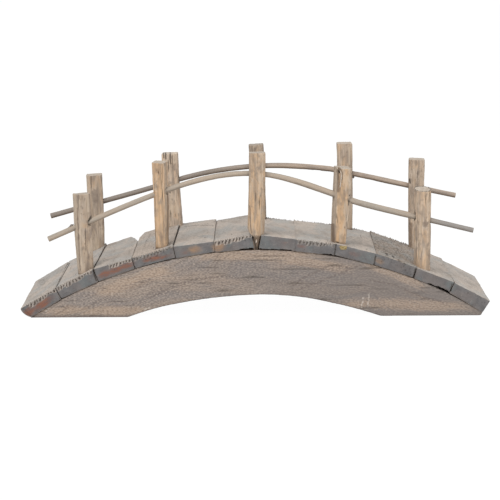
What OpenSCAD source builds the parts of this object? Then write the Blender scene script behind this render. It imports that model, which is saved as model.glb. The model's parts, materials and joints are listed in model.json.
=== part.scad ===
// Model moon bridge
// A small timber footbridge: two sawn arch stringers carry twelve deck boards,
// ten split posts stand on the board ends, and a bent cane handrail runs
// through the posts on each side.
// Millimetres. +X runs along the bridge, -Y is the front, +Z is up, and the
// origin is on the ground under the middle of the deck.

/* [Arch] */
// From the origin to the tip of the left foot
left_reach = 240; // [225:0.5:255]
// From the origin to the tip of the right foot
right_reach = 240.5; // [225:0.5:255]
// Height of the arch's upper edge at the crown
rise = 72; // [62:1:82]
// How far the crown lies to the right of the middle
crown_shift = 4; // [0:0.5:8]
// Clear span between the feet
soffit_span = 271; // [230:1:300]
// Clear height under the crown
soffit_rise = 24; // [16:1:30]
// Thickness of each stringer
stringer_t = 22; // [18:1:30]

/* [Deck] */
// Length of the boards, across the bridge
deck_w = 144; // [125:1:170]
// Nominal thickness of a board
board_t = 13; // [11:0.5:15]
// Open seam between neighbouring boards
seam = 0.6; // [0.2:0.1:1.2]
// How far the stringers stand back from the board ends
stringer_inset = 1.2; // [0:0.2:3]
// Lean of the left end's saw cut from upright, in degrees
left_cut = 46; // [38:1:54]
// Lean of the right end's saw cut from upright, in degrees
right_cut = 34; // [26:1:42]

/* [Posts] */
// Nominal width of a post, along the bridge
post_w = 17.5; // [15:0.25:20]
// Depth of a post, across the bridge
post_d = 17; // [15:0.25:20]
// Nominal height of a post above the deck
post_h = 86; // [80:1:110]
// Width of the middle post's tongue at the deck's upper face
tongue_w = 10; // [7:0.5:12]
// Depth of that tongue, across the bridge
tongue_d = 12; // [9:0.5:14]
// Clearance round the tongue in its notch
tongue_gap = 0.4; // [0.2:0.1:0.8]

/* [Handrails] */
// Thickness of a handrail at its left end
rail_d = 6.7; // [5:0.1:7.5]
// How much thinner a handrail is at its right end
rail_thin = 0.6; // [0:0.1:1.5]
// How much wider the bores in the posts are than the handrail
rail_play = 1.6; // [1.2:0.1:2.4]
// Gap between a handrail and the side of the bore that it lies against
rail_gap = 0.3; // [0.2:0.05:0.5]
// Nominal height of a handrail above the deck
rail_h = 58; // [50:1:62]
// How far a handrail runs on past its outer posts
rail_over = 47; // [36:1:52]

/* [Hidden] */
$fn = 96;

// Colours of the weathered timber
stringer_colour = [0.46, 0.37, 0.30];
board_colour = [0.66, 0.60, 0.54];
post_colour = [0.62, 0.45, 0.30];
rail_colour = [0.68, 0.58, 0.44];

// Circle of the arch's upper edge, through the left tip and the crown
left_half = left_reach + crown_shift;
arch_r = (left_half * left_half + rise * rise) / (2 * rise);
arch_z = rise - arch_r;

// Circle of the soffit
soffit_r = (soffit_span * soffit_span / 4 + soffit_rise * soffit_rise) / (2 * soffit_rise);

// Waney rear corners either side of the third seam
waney_w = [4.5, 6];
waney_deep = [8, 10];
waney_run = [40, 46];

// Boards: relative widths from left to right, and the thickness at each seam
// over the nominal
board_share = [0.90, 1.03, 1.02, 1.03, 1.01, 1.04, 0.96, 0.99, 1.01, 1.04, 1.01, 0.96];
seam_extra = [1.5, 0.7, 2, -0.8, 0.5, -1.3, 2.4, -0.5, -1.2, 0.2, -1, -2.2, 0.6];
// Rock of each board on the arch, in degrees, up to the right
board_rock = [0, -0.8, -0.8, 0, 0.8, 1.8, -1.4, 1, -2, 0, 2, 0];
// How much thicker each board is at the rear than at the front
rear_thick = [2.2, 3, 2.8, 3.2, 1.6, 0.8, -1.1, -0.5, 0.7, 1.6, 2, 1.8];
// What each board is short of the full length at the front and at the rear
front_short = [0, 0.4, 0.2, 0.7, 0.3, 0.6, 0.4, 0, 0.5, 0.2, 0.6, 0.1];
rear_short = [0.5, 0.2, 1.2, 0.4, 0, 1, 0.3, 0.6, 0.9, 0.1, 0.5, 0.3];
end_left = -asin(left_half / arch_r);
end_right = asin((right_reach - crown_shift) / arch_r);
// How far the end boards run on past their saw cuts before these are made
end_spare = 4;

// Posts, from left to right: how far each foot stands past its seam
front_foot = [-8.4, -11.4, 0.3, 3.8, 8.5];
rear_foot = [-5.2, -1.5, 4.3, 17.2, 12.9];
// How far the top of each leans to the right, and the bow between
front_lean = [-2.9, -1.7, 2, 4.9, 0];
rear_lean = [-1.9, -4.9, -2.8, -0.8, -0.7];
front_bow = [-0.8, 0.6, 0.4, -0.5, 0];
rear_bow = [0.5, -0.6, 0.4, 0.6, -0.4];
// Height of each over the nominal
front_tall = [0, 5, 5, -5.5, -3.5];
rear_tall = [3.2, -0.8, -0.5, 10.8, 18];
// Setback of each from the board ends
front_back = [5, 8, 1, 7, 10];
rear_back = [0.6, 0.3, 1, 0.5, 0.4];
// Width at the foot and at the top, and depth, over the nominal
front_foot_w = [-2.5, -4.7, 1, -5.2, 1.2];
front_top_w = [-0.3, -2.2, 0.3, -1.5, 1.2];
rear_foot_w = [-0.6, 0, 0.2, -0.2, 0.6];
rear_top_w = [0.3, -0.3, -0.1, 0.1, 1.3];
front_deep = [-4.5, -5.5, 0, -4.5, 1.5];
rear_deep = [-1, -2, 0, -1, -1];
// Turn about the upright and slope of the sawn top, in degrees
front_turn = [24, -24, 3, 22, 0];
rear_turn = [4, -5, 0, 3, -3];
front_slope = [-1, -2, 0, 8, 3];
rear_slope = [-3, -2, -4, 0, 2];
// Squareness of each section: 2 is round, more is squarer
front_square = [8, 8, 7, 8, 2.2];
rear_square = [7, 8, 7, 8, 7];
// The split down from the top of the fourth front post
split_post = 3;
split_w = 2.4;
split_run = 27;
split_deep = 6;
split_at = -3;
// Posts stand by every second seam, and the middle one has a tongue
post_every = 2;
middle_post = 2;
post_dig = 9;
post_rings = 5;
ring_pts = 20;

// Handrails: height over the nominal at each post, then how far the left and
// right ends drop, and the overhangs over the nominal
front_rail_rise = [-5.9, 1.2, 9.9, -8.6, -6.4];
rear_rail_rise = [-1.6, -5.2, 2.6, 5.8, 13.4];
front_rail_drop = [15.8, 13.4];
rear_rail_drop = [14.3, 9.4];
front_rail_over = [-10.5, 7.5];
rear_rail_over = [4.5, -2.5];
// Kick in each handrail's slope where it passes through each post
front_kick = [0, 0.05, 0, -0.09, 0];
rear_kick = [0, 0.08, 0, -0.05, 0];
// The side of each bore that the rail lies against, 1 below and -1 above
front_seat = [-1, -1, 1, 1, 1];
rear_seat = [1, 1, 1, -1, 1];
rail_steps = 48;
rail_sides = 8;

// Sum of the first n values of a list
function sum_to(v, n) = n <= 0 ? 0 : v[n - 1] + sum_to(v, n - 1);

// Seam k, counted from the left end, as an angle on the arch
function seam_a(k) =
    end_left + (end_right - end_left) * sum_to(board_share, k) / sum_to(board_share, 12);

// A point at an angle and a radius from the centre of the arch
function on_arch(a, r) = [crown_shift + r * sin(a), arch_z + r * cos(a)];

// Radius, at angle a, of a line that touches the arch at angle t
function touch_r(a, t) = arch_r / cos(a - t);

// Height of the deck's upper face at x
function deck_z(x) =
    arch_z + sqrt(pow(arch_r + board_t, 2) - pow(x - crown_shift, 2));

// Rows of posts: side is -1 at the front and 1 at the rear
function row(side, front, rear) = side < 0 ? front : rear;
function foot_x(side, i) =
    on_arch(seam_a((i + 1) * post_every), arch_r + board_t)[0]
    + row(side, front_foot, rear_foot)[i];
function post_depth(side, i) = post_d + row(side, front_deep, rear_deep)[i];
function post_y(side, i) =
    side * (deck_w / 2 - row(side, front_back, rear_back)[i] - post_d / 2);
function post_height(side, i) = post_h + row(side, front_tall, rear_tall)[i];
function post_x(side, i, z) =
    let (u = (z - deck_z(foot_x(side, i))) / post_height(side, i))
    foot_x(side, i)
    + row(side, front_lean, rear_lean)[i] * u
    + row(side, front_bow, rear_bow)[i] * 4 * u * (1 - u);

// Points that a handrail runs through: its left end, the posts, its right end
function rail_post(side, i) =
    let (z = deck_z(foot_x(side, i)) + rail_h + row(side, front_rail_rise, rear_rail_rise)[i])
    [post_x(side, i, z), post_y(side, i), z];
function rail_end(side, k) =
    let (p = rail_post(side, k * 4),
         drop = row(side, front_rail_drop, rear_rail_drop)[k],
         over = rail_over + row(side, front_rail_over, rear_rail_over)[k])
    [p[0] + (2 * k - 1) * over, p[1], p[2] - drop];
function rail_points(side) =
    [rail_end(side, 0), for (i = [0:4]) rail_post(side, i), rail_end(side, 1)];

// A handrail's curve: its points and the kicks in its slope there
function rail_curve(side) = [rail_points(side), [0, each row(side, front_kick, rear_kick), 0]];

// Slope of a curve at its point i
function chord(p, i) = (p[i + 1] - p[i]) / (p[i + 1][0] - p[i][0]);
function even_slope(p, i) =
    i == 0 ? chord(p, 0)
    : i == len(p) - 1 ? chord(p, i - 1)
    : let (h0 = p[i][0] - p[i - 1][0], h1 = p[i + 1][0] - p[i][0])
      (chord(p, i - 1) * h1 + chord(p, i) * h0) / (h0 + h1);
function slope(curve, i) = even_slope(curve[0], i) + [0, 0, curve[1][i]];

// Which stretch of the rail x falls in
function stretch(p, x, i = 0) =
    i >= len(p) - 2 || x <= p[i + 1][0] ? i : stretch(p, x, i + 1);

// A rail's curve at x
function rail_at(curve, x) =
    let (p = curve[0],
         i = stretch(p, x),
         h = p[i + 1][0] - p[i][0],
         t = (x - p[i][0]) / h)
    p[i] * (2 * t * t * t - 3 * t * t + 1)
    + slope(curve, i) * h * (t * t * t - 2 * t * t + t)
    + p[i + 1] * (3 * t * t - 2 * t * t * t)
    + slope(curve, i + 1) * h * (t * t * t - t * t);

// Thickness of a rail at x
function rail_thick(curve, x) =
    let (p = curve[0])
    rail_d - rail_thin * (x - p[0][0]) / (p[6][0] - p[0][0]);

// Unit direction of a rail at x, and the direction across it that points up
function unit(v) = v / norm(v);
function rail_dir(curve, x) = unit(rail_at(curve, x + 0.5) - rail_at(curve, x - 0.5));
function rail_up(curve, x) = unit(cross(rail_dir(curve, x), [0, 1, 0]));

// A solid through a row of rings with equal numbers of points
module loft(rings) {
    n = len(rings[0]);
    m = len(rings);
    points = [for (r = rings) each r];
    sides = [
        for (j = [0:m - 2], k = [0:n - 1])
            let (a = j * n + k, b = j * n + (k + 1) % n)
            each [[a, a + n, b], [b, a + n, b + n]]
    ];
    start = [for (k = [0:n - 1]) k];
    finish = [for (k = [n - 1:-1:0]) (m - 1) * n + k];
    polyhedron(points = points, faces = concat([start], sides, [finish]));
}

// Everything beyond the saw cut at one end of the bridge
module end_cut(k) {
    reach = k < 0 ? left_reach : right_reach;
    lean = k < 0 ? left_cut : right_cut;
    big = 2 * deck_w;
    translate([k * reach, 0, 0])
        rotate([0, k * lean, 0])
            translate([k * big / 2, 0, 0])
                cube(big, center = true);
}

// Outline of a stringer, seen from the front
module stringer_outline() {
    difference() {
        intersection() {
            translate([crown_shift, arch_z]) circle(r = arch_r);
            translate([-2 * left_reach, 0])
                square([4 * left_reach, 2 * rise]);
        }
        translate([0, soffit_rise - soffit_r]) circle(r = soffit_r);
        translate([right_reach, 0])
            rotate(-right_cut)
                translate([0, -rise]) square(2 * rise);
    }
}

module stringer(side) {
    y_back = side < 0 ? -deck_w / 2 + stringer_inset + stringer_t : deck_w / 2 - stringer_inset;
    color(stringer_colour)
        translate([0, y_back, 0])
            rotate([90, 0, 0])
                linear_extrude(height = stringer_t) stringer_outline();
}

// Section of a board at y; below is how far it is carried down under the arch,
// and gap the space left at each seam
function board_section(i, y, gap, below) =
    let (half_gap = gap / 2 / arch_r * 180 / PI,
         a0 = seam_a(i) + half_gap - (i == 0 ? end_spare : 0),
         a1 = seam_a(i + 1) - half_gap + (i == 11 ? end_spare : 0),
         t = (seam_a(i) + seam_a(i + 1)) / 2 - board_rock[i],
         up = board_t + rear_thick[i] * (y / deck_w + 0.5))
    [for (c = [[a0, -below], [a1, -below], [a1, up + seam_extra[i + 1]], [a0, up + seam_extra[i]]])
        let (p = on_arch(c[0], touch_r(c[0], t) + c[1]))
        [p[0], y, p[1]]];

// A board between two seams, from y0 at the front to y1 at the rear
module board_blank(i, y0, y1, gap, below)
    loft([board_section(i, y1, gap, below), board_section(i, y0, gap, below)]);

// Notch at the front for the middle post's tongue, or the tongue itself
module tongue(gap) {
    x = foot_x(-1, middle_post);
    y0 = -deck_w / 2 + front_back[middle_post] + 1.5;
    top = rise + board_t + 8;
    wide = tongue_w / 2 + gap;
    narrow = tongue_w / 4 + gap;
    translate([x, y0 + tongue_d + gap, 0])
        rotate([90, 0, 0])
            linear_extrude(height = tongue_d + gap + (gap > 0 ? tongue_d : 0))
                polygon([[-narrow, rise], [narrow, rise], [wide, rise + board_t],
                         [wide, top], [-wide, top], [-wide, rise + board_t]]);
}

// Waney corner at a board's rear end: k is -1 on its left and 1 on its right
module waney_corner(i, k, wide, deep, run) {
    s = k < 0 ? i : i + 1;
    c = on_arch(seam_a(s), arch_r + board_t + seam_extra[s] + rear_thick[i]);
    y = deck_w / 2 + 1;
    hull() {
        translate([c[0], y, c[1]])
            rotate([0, seam_a(s), 0])
                rotate([90, 0, 0])
                    linear_extrude(height = 0.1)
                        polygon([[k * 3, 3], [k * 3, -deep], [0, -deep], [-k * wide, 3]]);
        translate([c[0], y - run, c[1]])
            rotate([0, seam_a(s), 0])
                rotate([90, 0, 0])
                    linear_extrude(height = 0.1)
                        polygon([[k * 3, 3], [k * 3, 1], [k * 1, 3]]);
    }
}

module board(i) {
    color(board_colour)
        difference() {
            board_blank(i, -deck_w / 2 + front_short[i], deck_w / 2 - rear_short[i], seam, 0);
            if (i == 0) end_cut(-1);
            if (i == 11) end_cut(1);
            if (i == 5 || i == 6) tongue(tongue_gap);
            if (i == 2) waney_corner(i, 1, waney_w[0], waney_deep[0], waney_run[0]);
            if (i == 3) waney_corner(i, -1, waney_w[1], waney_deep[1], waney_run[1]);
        }
}

// The boards under a post, carried down so that its foot is cut clean
module boards_under(side, i) {
    x = foot_x(side, i);
    y = post_y(side, i);
    for (b = [0:11])
        if (on_arch(seam_a(b + 1), arch_r)[0] > x - post_w && on_arch(seam_a(b), arch_r)[0] < x + post_w)
            board_blank(b, y - post_d, y + post_d, -0.02, 2 * post_dig);
}

// One ring of a post at height z
function post_ring(side, i, z) =
    let (u = (z - deck_z(foot_x(side, i))) / post_height(side, i),
         at_foot = row(side, front_foot_w, rear_foot_w)[i],
         at_top = row(side, front_top_w, rear_top_w)[i],
         w = (post_w + at_foot + (at_top - at_foot) * u) / 2,
         d = post_depth(side, i) / 2,
         e = 2 / row(side, front_square, rear_square)[i],
         turn = row(side, front_turn, rear_turn)[i])
    [for (k = [0:ring_pts - 1])
        let (a = 360 * k / ring_pts,
             x = w * sign(cos(a)) * pow(abs(cos(a)), e),
             y = d * sign(sin(a)) * pow(abs(sin(a)), e))
        [post_x(side, i, z) + x * cos(turn) - y * sin(turn),
         post_y(side, i) + x * sin(turn) + y * cos(turn),
         z]];

// Bore for the handrail through a post
module rail_bore(side, i) {
    curve = rail_curve(side);
    c = curve[0][i + 1];
    d = rail_dir(curve, c[0]);
    seat = row(side, front_seat, rear_seat)[i];
    lift = seat * (rail_play / 2 - rail_gap);
    translate(c + rail_up(curve, c[0]) * lift)
        rotate([0, acos(d[2]), atan2(d[1], d[0])])
            cylinder(d = rail_thick(curve, c[0]) + rail_play, h = 3 * post_w, center = true);
}

// Long split that opens down from the top of a post's front
module post_split(top) {
    x = post_x(-1, split_post, top);
    y = post_y(-1, split_post) - post_depth(-1, split_post) / 2;
    translate([x + split_at, y + split_deep, top])
        rotate([90, 0, 0])
            linear_extrude(height = 2 * split_deep)
                polygon([[-split_w, split_w], [split_w / 3, split_w], [0.2, 0], [-0.2, -split_run], [-split_w / 2, 0]]);
}

module post(side, i) {
    x = foot_x(side, i);
    foot = deck_z(x) - post_dig;
    top = deck_z(x) + post_height(side, i);
    spare = 4;
    color(post_colour)
        difference() {
            union() {
                difference() {
                    loft([for (j = [0:post_rings - 1])
                        post_ring(side, i, foot + (top + spare - foot) * j / (post_rings - 1))]);
                    boards_under(side, i);
                }
                if (side < 0 && i == middle_post) tongue(0);
            }
            translate([post_x(side, i, top), post_y(side, i), top])
                rotate([0, row(side, front_slope, rear_slope)[i], 0])
                    translate([0, 0, post_w]) cube(2 * post_w, center = true);
            rail_bore(side, i);
            if (side < 0 && i == split_post) post_split(top);
        }
}

module rail(side) {
    curve = rail_curve(side);
    x0 = curve[0][0][0];
    x1 = curve[0][6][0];
    color(rail_colour)
        loft([for (j = [0:rail_steps])
            let (x = x0 + (x1 - x0) * j / rail_steps,
                 c = rail_at(curve, x),
                 up = rail_up(curve, x),
                 out = cross(rail_dir(curve, x), up))
            [for (k = [0:rail_sides - 1])
                let (a = 360 * (k + 0.5) / rail_sides,
                     r = rail_thick(curve, x) / 2 * (0.97 + 0.03 * sin(47 * j + 131 * k)))
                c + r * cos(a) * out + r * sin(a) * up]]);
}

module front_stringer() stringer(-1);
module rear_stringer() stringer(1);
module deck_board_01() board(0);
module deck_board_02() board(1);
module deck_board_03() board(2);
module deck_board_04() board(3);
module deck_board_05() board(4);
module deck_board_06() board(5);
module deck_board_07() board(6);
module deck_board_08() board(7);
module deck_board_09() board(8);
module deck_board_10() board(9);
module deck_board_11() board(10);
module deck_board_12() board(11);
module front_post_1() post(-1, 0);
module front_post_2() post(-1, 1);
module front_post_3() post(-1, 2);
module front_post_4() post(-1, 3);
module front_post_5() post(-1, 4);
module rear_post_1() post(1, 0);
module rear_post_2() post(1, 1);
module rear_post_3() post(1, 2);
module rear_post_4() post(1, 3);
module rear_post_5() post(1, 4);
module front_rail() rail(-1);
module rear_rail() rail(1);

front_stringer();
rear_stringer();
deck_board_01();
deck_board_02();
deck_board_03();
deck_board_04();
deck_board_05();
deck_board_06();
deck_board_07();
deck_board_08();
deck_board_09();
deck_board_10();
deck_board_11();
deck_board_12();
front_post_1();
front_post_2();
front_post_3();
front_post_4();
front_post_5();
rear_post_1();
rear_post_2();
rear_post_3();
rear_post_4();
rear_post_5();
front_rail();
rear_rail();
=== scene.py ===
"""Weathered timber for a model moon bridge: sawn boards, split posts, bent canes and saw fuzz."""

import json
import math
from functools import partialmethod

import bmesh
import bpy
import numpy as np
from mathutils import Matrix, Vector, noise

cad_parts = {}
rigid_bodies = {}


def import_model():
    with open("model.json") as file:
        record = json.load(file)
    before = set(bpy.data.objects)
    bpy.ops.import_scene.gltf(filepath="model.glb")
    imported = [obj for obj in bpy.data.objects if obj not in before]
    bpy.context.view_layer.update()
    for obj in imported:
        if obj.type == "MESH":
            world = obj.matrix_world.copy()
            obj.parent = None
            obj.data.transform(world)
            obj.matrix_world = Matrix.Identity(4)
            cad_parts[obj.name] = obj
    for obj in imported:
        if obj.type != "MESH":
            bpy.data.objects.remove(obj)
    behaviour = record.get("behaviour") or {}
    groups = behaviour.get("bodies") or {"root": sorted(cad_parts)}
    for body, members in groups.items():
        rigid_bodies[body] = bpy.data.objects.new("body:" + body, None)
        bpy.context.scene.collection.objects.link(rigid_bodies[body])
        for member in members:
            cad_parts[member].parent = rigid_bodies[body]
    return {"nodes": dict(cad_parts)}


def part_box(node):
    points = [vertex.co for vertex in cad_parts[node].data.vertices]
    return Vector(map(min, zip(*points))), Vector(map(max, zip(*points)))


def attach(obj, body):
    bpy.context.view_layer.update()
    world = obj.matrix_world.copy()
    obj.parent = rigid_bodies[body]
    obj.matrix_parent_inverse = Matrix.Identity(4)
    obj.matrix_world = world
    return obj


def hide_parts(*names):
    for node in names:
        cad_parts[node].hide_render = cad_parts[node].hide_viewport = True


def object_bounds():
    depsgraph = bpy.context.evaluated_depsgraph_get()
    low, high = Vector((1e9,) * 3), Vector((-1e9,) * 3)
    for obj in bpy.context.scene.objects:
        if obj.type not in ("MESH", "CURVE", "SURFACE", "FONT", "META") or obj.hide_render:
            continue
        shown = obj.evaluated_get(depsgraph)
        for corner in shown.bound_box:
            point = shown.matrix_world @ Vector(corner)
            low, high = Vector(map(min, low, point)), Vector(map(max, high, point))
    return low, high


bl_info = {
    "name": "Model Moon Bridge",
    "version": (1, 0, 0),
    "blender": (4, 5, 0),
    "location": "View3D > Sidebar > Moon Bridge",
    "description": "Dresses the model moon bridge in weathered timber and sets up its stage",
    "category": "Object",
}

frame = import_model()
CAD_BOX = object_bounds()
BODY = "root"
MM = 0.001
BOARDS = sorted(name for name in frame["nodes"] if name.startswith("deck_board"))
STRINGERS = ("front_stringer", "rear_stringer")

# How near corners are that merge, and how closely faces that count as facing one way follow it
MERGE = 0.01 * MM
FACES_ONE_WAY = 0.8

# First places of the boards and the posts in the noise, which the arch planks start
BOARD_SEED = 3
POST_SEED = 20

# Rails, with their finish: sides of the CAD rings, length of a step along them, and how far apart they
# lie in the noise
RAILS = {"front_rail": "front_cane", "rear_rail": "rear_cane"}
RAIL_SIDES = 8
RAIL_STEP = 0.8 * MM
RAIL_SHIFT = 400.0

# Front arch plank, in millimetres: tan patches at x and z with half width, half height and slope
ARCH_TAN = (
    (-170, 7, 66, 5.0, 0.0), (150, 44, 34, 7.0, -0.4), (165, 12, 70, 7.0, -0.05),
    (-130, 40, 40, 8.0, 0.35), (-10, 66, 70, 6.0, 0.0), (60, 58, 40, 6.0, -0.15),
)

# Posts: the least upright normal of their ends and the shares of the height where these lie, how far
# the feet reach into the boards, the half height of the block that closes an edge over a bore, how far
# up the feet are darkened, the painted shade round a bore and a knot's half height
LEVEL = 0.5
FOOT_PART = 0.3
TOP_PART = 0.1
SEAT = 1.2 * MM
EDGE_BLOCK = 24 * MM
FOOT_DARKENING = 5 * MM
BORE_RIM = 5.0 * MM
KNOT_BAND = 5 * MM

# Centre post: its foot runs into a notch in the front edge, and its tongue there is darkened, partly
# as stain and partly as painted shade in the notch
NOTCHED = "front_post_3"
TONGUE_STAIN_AND_SHADE = 4 * MM
TONGUE_HALF = 5.0 * MM
TONGUE_SHIFT = 1.3 * MM
SHOULDER = 86.5 * MM
TAPER = 0.6

# Posts whose edge swells: left or right, millimetres at the foot, the bore and the top, and how grey
# it is; the edge is read in this many rows of this half height
LEFT, RIGHT = -1, 1
SWELL_ROWS = 40
SWELL_ROW = 2 * MM
SWOLLEN = (
    ("front_post_1", RIGHT, 1.0, 1.8, 0.0, 0.0), ("front_post_4", RIGHT, 0.8, 3.8, 1.2, 0.6),
    ("front_post_4", LEFT, 0.9, 0.4, 0.6, 0.0), ("rear_post_1", LEFT, 0.9, 0.9, 0.9, 0.0),
    ("rear_post_2", LEFT, 0.6, 1.1, 1.3, 0.0),
)

# Arch planks, in millimetres: how deep and how tall the underside sags, where with half width, and
# how far the right tips are drawn out, from where on
SAG = 1.0
SAG_TALL = 20.0
SAGS = ((-48, 44), (101, 38))
TIP_OUT = 1.0
TIP_FROM = 225.0

# Rails: x, rise and share by which they are thicker
RAIL_FIT = {
    "front_rail": (
        (-200, 0.4, 0.0), (-165, 0.1, 0.0), (-110, 0.0, 0.0), (20, 0.0, 0.0), (40, 0.0, 0.12),
        (60, 0.2, 0.2), (85, 0.6, 0.2), (110, 0.3, 0.16), (130, 0.6, 0.2), (165, 0.6, 0.18),
        (195, 0.7, 0.0),
    ),
    "rear_rail": (
        (-60, 0.0, 0.0), (20, -0.2, 0.05), (45, -0.4, 0.12), (70, -0.2, 0.12), (85, 0.4, 0.12),
        (110, 0.0, 0.05), (150, 0.3, 0.12), (170, 0.5, 0.1), (210, 0.2, 0.05),
    ),
}

# Camera: focal length in pixels of a 500 pixel frame, place in metres, angles in degrees
IMAGE_SIDE = 500
FOCAL = 1850
SENSOR = 36
CAMERA_PLACE = Vector((-0.0051, -2.0072, 0.40195))
CAMERA_PITCH = 9.663
CAMERA_ROLL = -0.30

# Lamps: name, place and side in metres, and power; and the place that they point at
LAMPS = (("Key", (-0.9, -1.25, 2.2), 1.6, 38.0), ("Fill", (1.5, -1.5, 0.9), 1.8, 16.0))
LAMP_TARGET = Vector((0, 0, 0.08))

# Floor's colour, its glow and how much of that the camera sees, and the light of the white sky
WHITE = (1.0, 1.0, 1.0)
FLOOR_COLOUR = (0.85, 0.85, 0.85)
FLOOR_GLOW = 1.05
FLOOR_SEEN = 0.94
SKY = 0.55

# Every finish's specular level
SPECULAR = 0.25

# Posts: turn about the upright in degrees, how orange and how grey the wood is, grey on the left
# and right faces, which also paints light and shade on those sides, tone, how many millimetres the
# sawn top rises to the rear, whether the bore stops short of the left edge, how dark the painted shade
# on its rim is on the left and the right, and how dark a knot is there
POSTS = {
    "front_post_1": {"turn": 24, "warm": 0.25, "grey": 0.3, "left": -0.6, "tone": 0.9,
                     "slope": 0.2, "closed": True, "bore": (0.5, 1.0)},
    "front_post_2": {"turn": -24, "warm": 0.85, "grey": 0.0, "right": 0.5, "tone": 0.98,
                     "slope": 2.4, "closed": True, "bore": (0.1, 0.8)},
    "front_post_3": {"turn": 3, "warm": 0.6, "grey": 0.1, "tone": 0.92},
    "front_post_4": {"turn": 22, "warm": 0.85, "grey": 0.0, "left": 1.2, "tone": 0.96, "slope": 2.2,
                     "closed": True, "bore": (0.2, 1.0)},
    "front_post_5": {"turn": 0, "warm": 0.45, "grey": 0.25, "tone": 1.05, "slope": 3.4, "knot": 0.6,
                     "bore": (1.0, 0.8)},
    "rear_post_1": {"turn": 4, "warm": 0.25, "grey": 0.3, "tone": 1.0, "slope": 0.7},
    "rear_post_2": {"turn": -5, "warm": 0.3, "grey": 0.3, "tone": 1.14, "slope": 0.7,
                    "bore": (0.3, 0.7)},
    "rear_post_3": {"turn": 0, "warm": 0.3, "grey": 0.35, "tone": 0.8},
    "rear_post_4": {"turn": 3, "warm": 0.3, "grey": 0.25, "tone": 1.05, "slope": 0.7, "bore": (0.3, 1.0)},
    "rear_post_5": {"turn": -3, "warm": 0.3, "grey": 0.25, "tone": 1.05, "slope": 0.7, "bore": (0.9, 0.3)},
}

# Boards whose tops are rougher than the rest, the depth of their pits in millimetres, and the tone of
# those that stand out
PITTED = {"deck_board_04": 0.5, "deck_board_10": 1.0}
PIT_DEPTH = 0.8
BOARD_TONE = {
    "deck_board_01": 0.96, "deck_board_07": 1.08, "deck_board_08": 1.07, "deck_board_10": 0.77,
    "deck_board_12": 1.05,
}

# Boards pressed tight against their neighbours: how far their sides swell, in millimetres
CLOSED = {
    "deck_board_05": 0.2, "deck_board_06": 0.4, "deck_board_07": 1.1, "deck_board_08": 1.1,
    "deck_board_09": 0.6, "deck_board_10": 0.4,
}

# Saw tear-out along the front edges: its depth in millimetres, and for each board the first and last
# millimetre from its middle, and how dark the painted shade in the gaps is
TEAR_DEPTH = 1.7
TORN = {
    "deck_board_01": (-13, 22, 0.75),
    "deck_board_02": (-22, 20, 0.7),
    "deck_board_03": (-4, 22, 1.0),
    "deck_board_04": (-21, 18, 0.4),
    "deck_board_06": (-21, 19, 0.85),
    "deck_board_08": (-20, 19, 0.45),
}

# Boards whose front lower edge stands off the arch: first and last millimetre, and the gap; corners
# this far out and low, in millimetres, make that edge
LIFTED = {
    "deck_board_04": (-18, 22, 0.6),
    "deck_board_06": (0, 22, 1.4),
    "deck_board_07": (-21, 19, 1.4),
    "deck_board_08": (6, 20, 1.5),
    "deck_board_11": (-6, 21, 1.6),
}
FRONT_EDGE = 60
LOWER_EDGE = 5

# The deck's left tip: radii towards the front and the top, and how far and deep its cut swells
FRONT = Vector((0, -1, 0))
TIP_FRONT = 5 * MM
TIP_TOP = 3 * MM
TIP_SWELL = 2.4 * MM
TIP_DEEP = 10 * MM

# The boards lie askew: millimetres that each seam slides along the deck, front and rear, from the left
# end of the deck to the right end
SEAMS = (
    (0.0, 2.6), (1.0, 3.6), (1.6, 6.8), (-0.1, 2.7), (1.2, 4.4), (0.8, 1.4), (1.2, 2.4), (1.2, 3.0),
    (1.2, 3.6), (1.2, 3.6), (2.0, 9.0), (1.6, 2.4), (0.0, 0.0),
)

# Boards with a thicker corner: millimetres that the top rises front left, front right, rear left and
# rear right, and that the bottom of the right end drops
RAISED = {
    "deck_board_01": (0.0, 0.0, 0.2, 1.2, 0.0),
    "deck_board_03": (0.0, 0.0, -1.6, 0.9, 0.0),
    "deck_board_05": (0.0, 0.0, 0.7, 0.7, 0.0),
    "deck_board_06": (0.4, 0.8, 0.7, 0.7, 0.0),
    "deck_board_07": (1.0, 1.5, 0.0, 0.0, 0.0),
    "deck_board_08": (0.8, 1.3, 0.0, 0.6, 0.0),
    "deck_board_09": (0.8, 0.0, 0.4, 0.0, 0.0),
    "deck_board_11": (0.0, 2.0, 0.4, 1.0, 0.0),
    "deck_board_12": (2.9, 2.2, 1.1, 1.4, 2.2),
}
NOT_RAISED = (0.0, 0.0, 0.0, 0.0, 0.0)

# Boards whose rear right corner is broken off: share of the depth where the break starts, and the
# millimetres that are lost at the rear
BROKEN = {"deck_board_03": (0.7, 10.0)}

# Boards whose rear upper edge is left fuzzy by the saw
FUZZY = ("deck_board_07", "deck_board_08", "deck_board_09", "deck_board_10")

# A board's upper edge: how near the end and how far below the top its corners lie, and where slivers
# and fuzz are rooted from it
EDGE_NEAR = 0.2 * MM
EDGE_DEEP = 0.8 * MM
SLIVER_INSET = Vector((0, 1.15, -0.2)) * MM
FUZZ_INSET = Vector((0, -1.1, -0.6)) * MM

# Round post with a fuzzy rim: the places round it, how deep the cap is, how much its higher points
# count, and how far in the fuzz is rooted
RIMMED = "front_post_5"
RIM_STEPS = 48
RIM_DEEP = 6 * MM
RIM_HIGH = 0.6
RIM_INSET = 0.3 * MM

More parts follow.
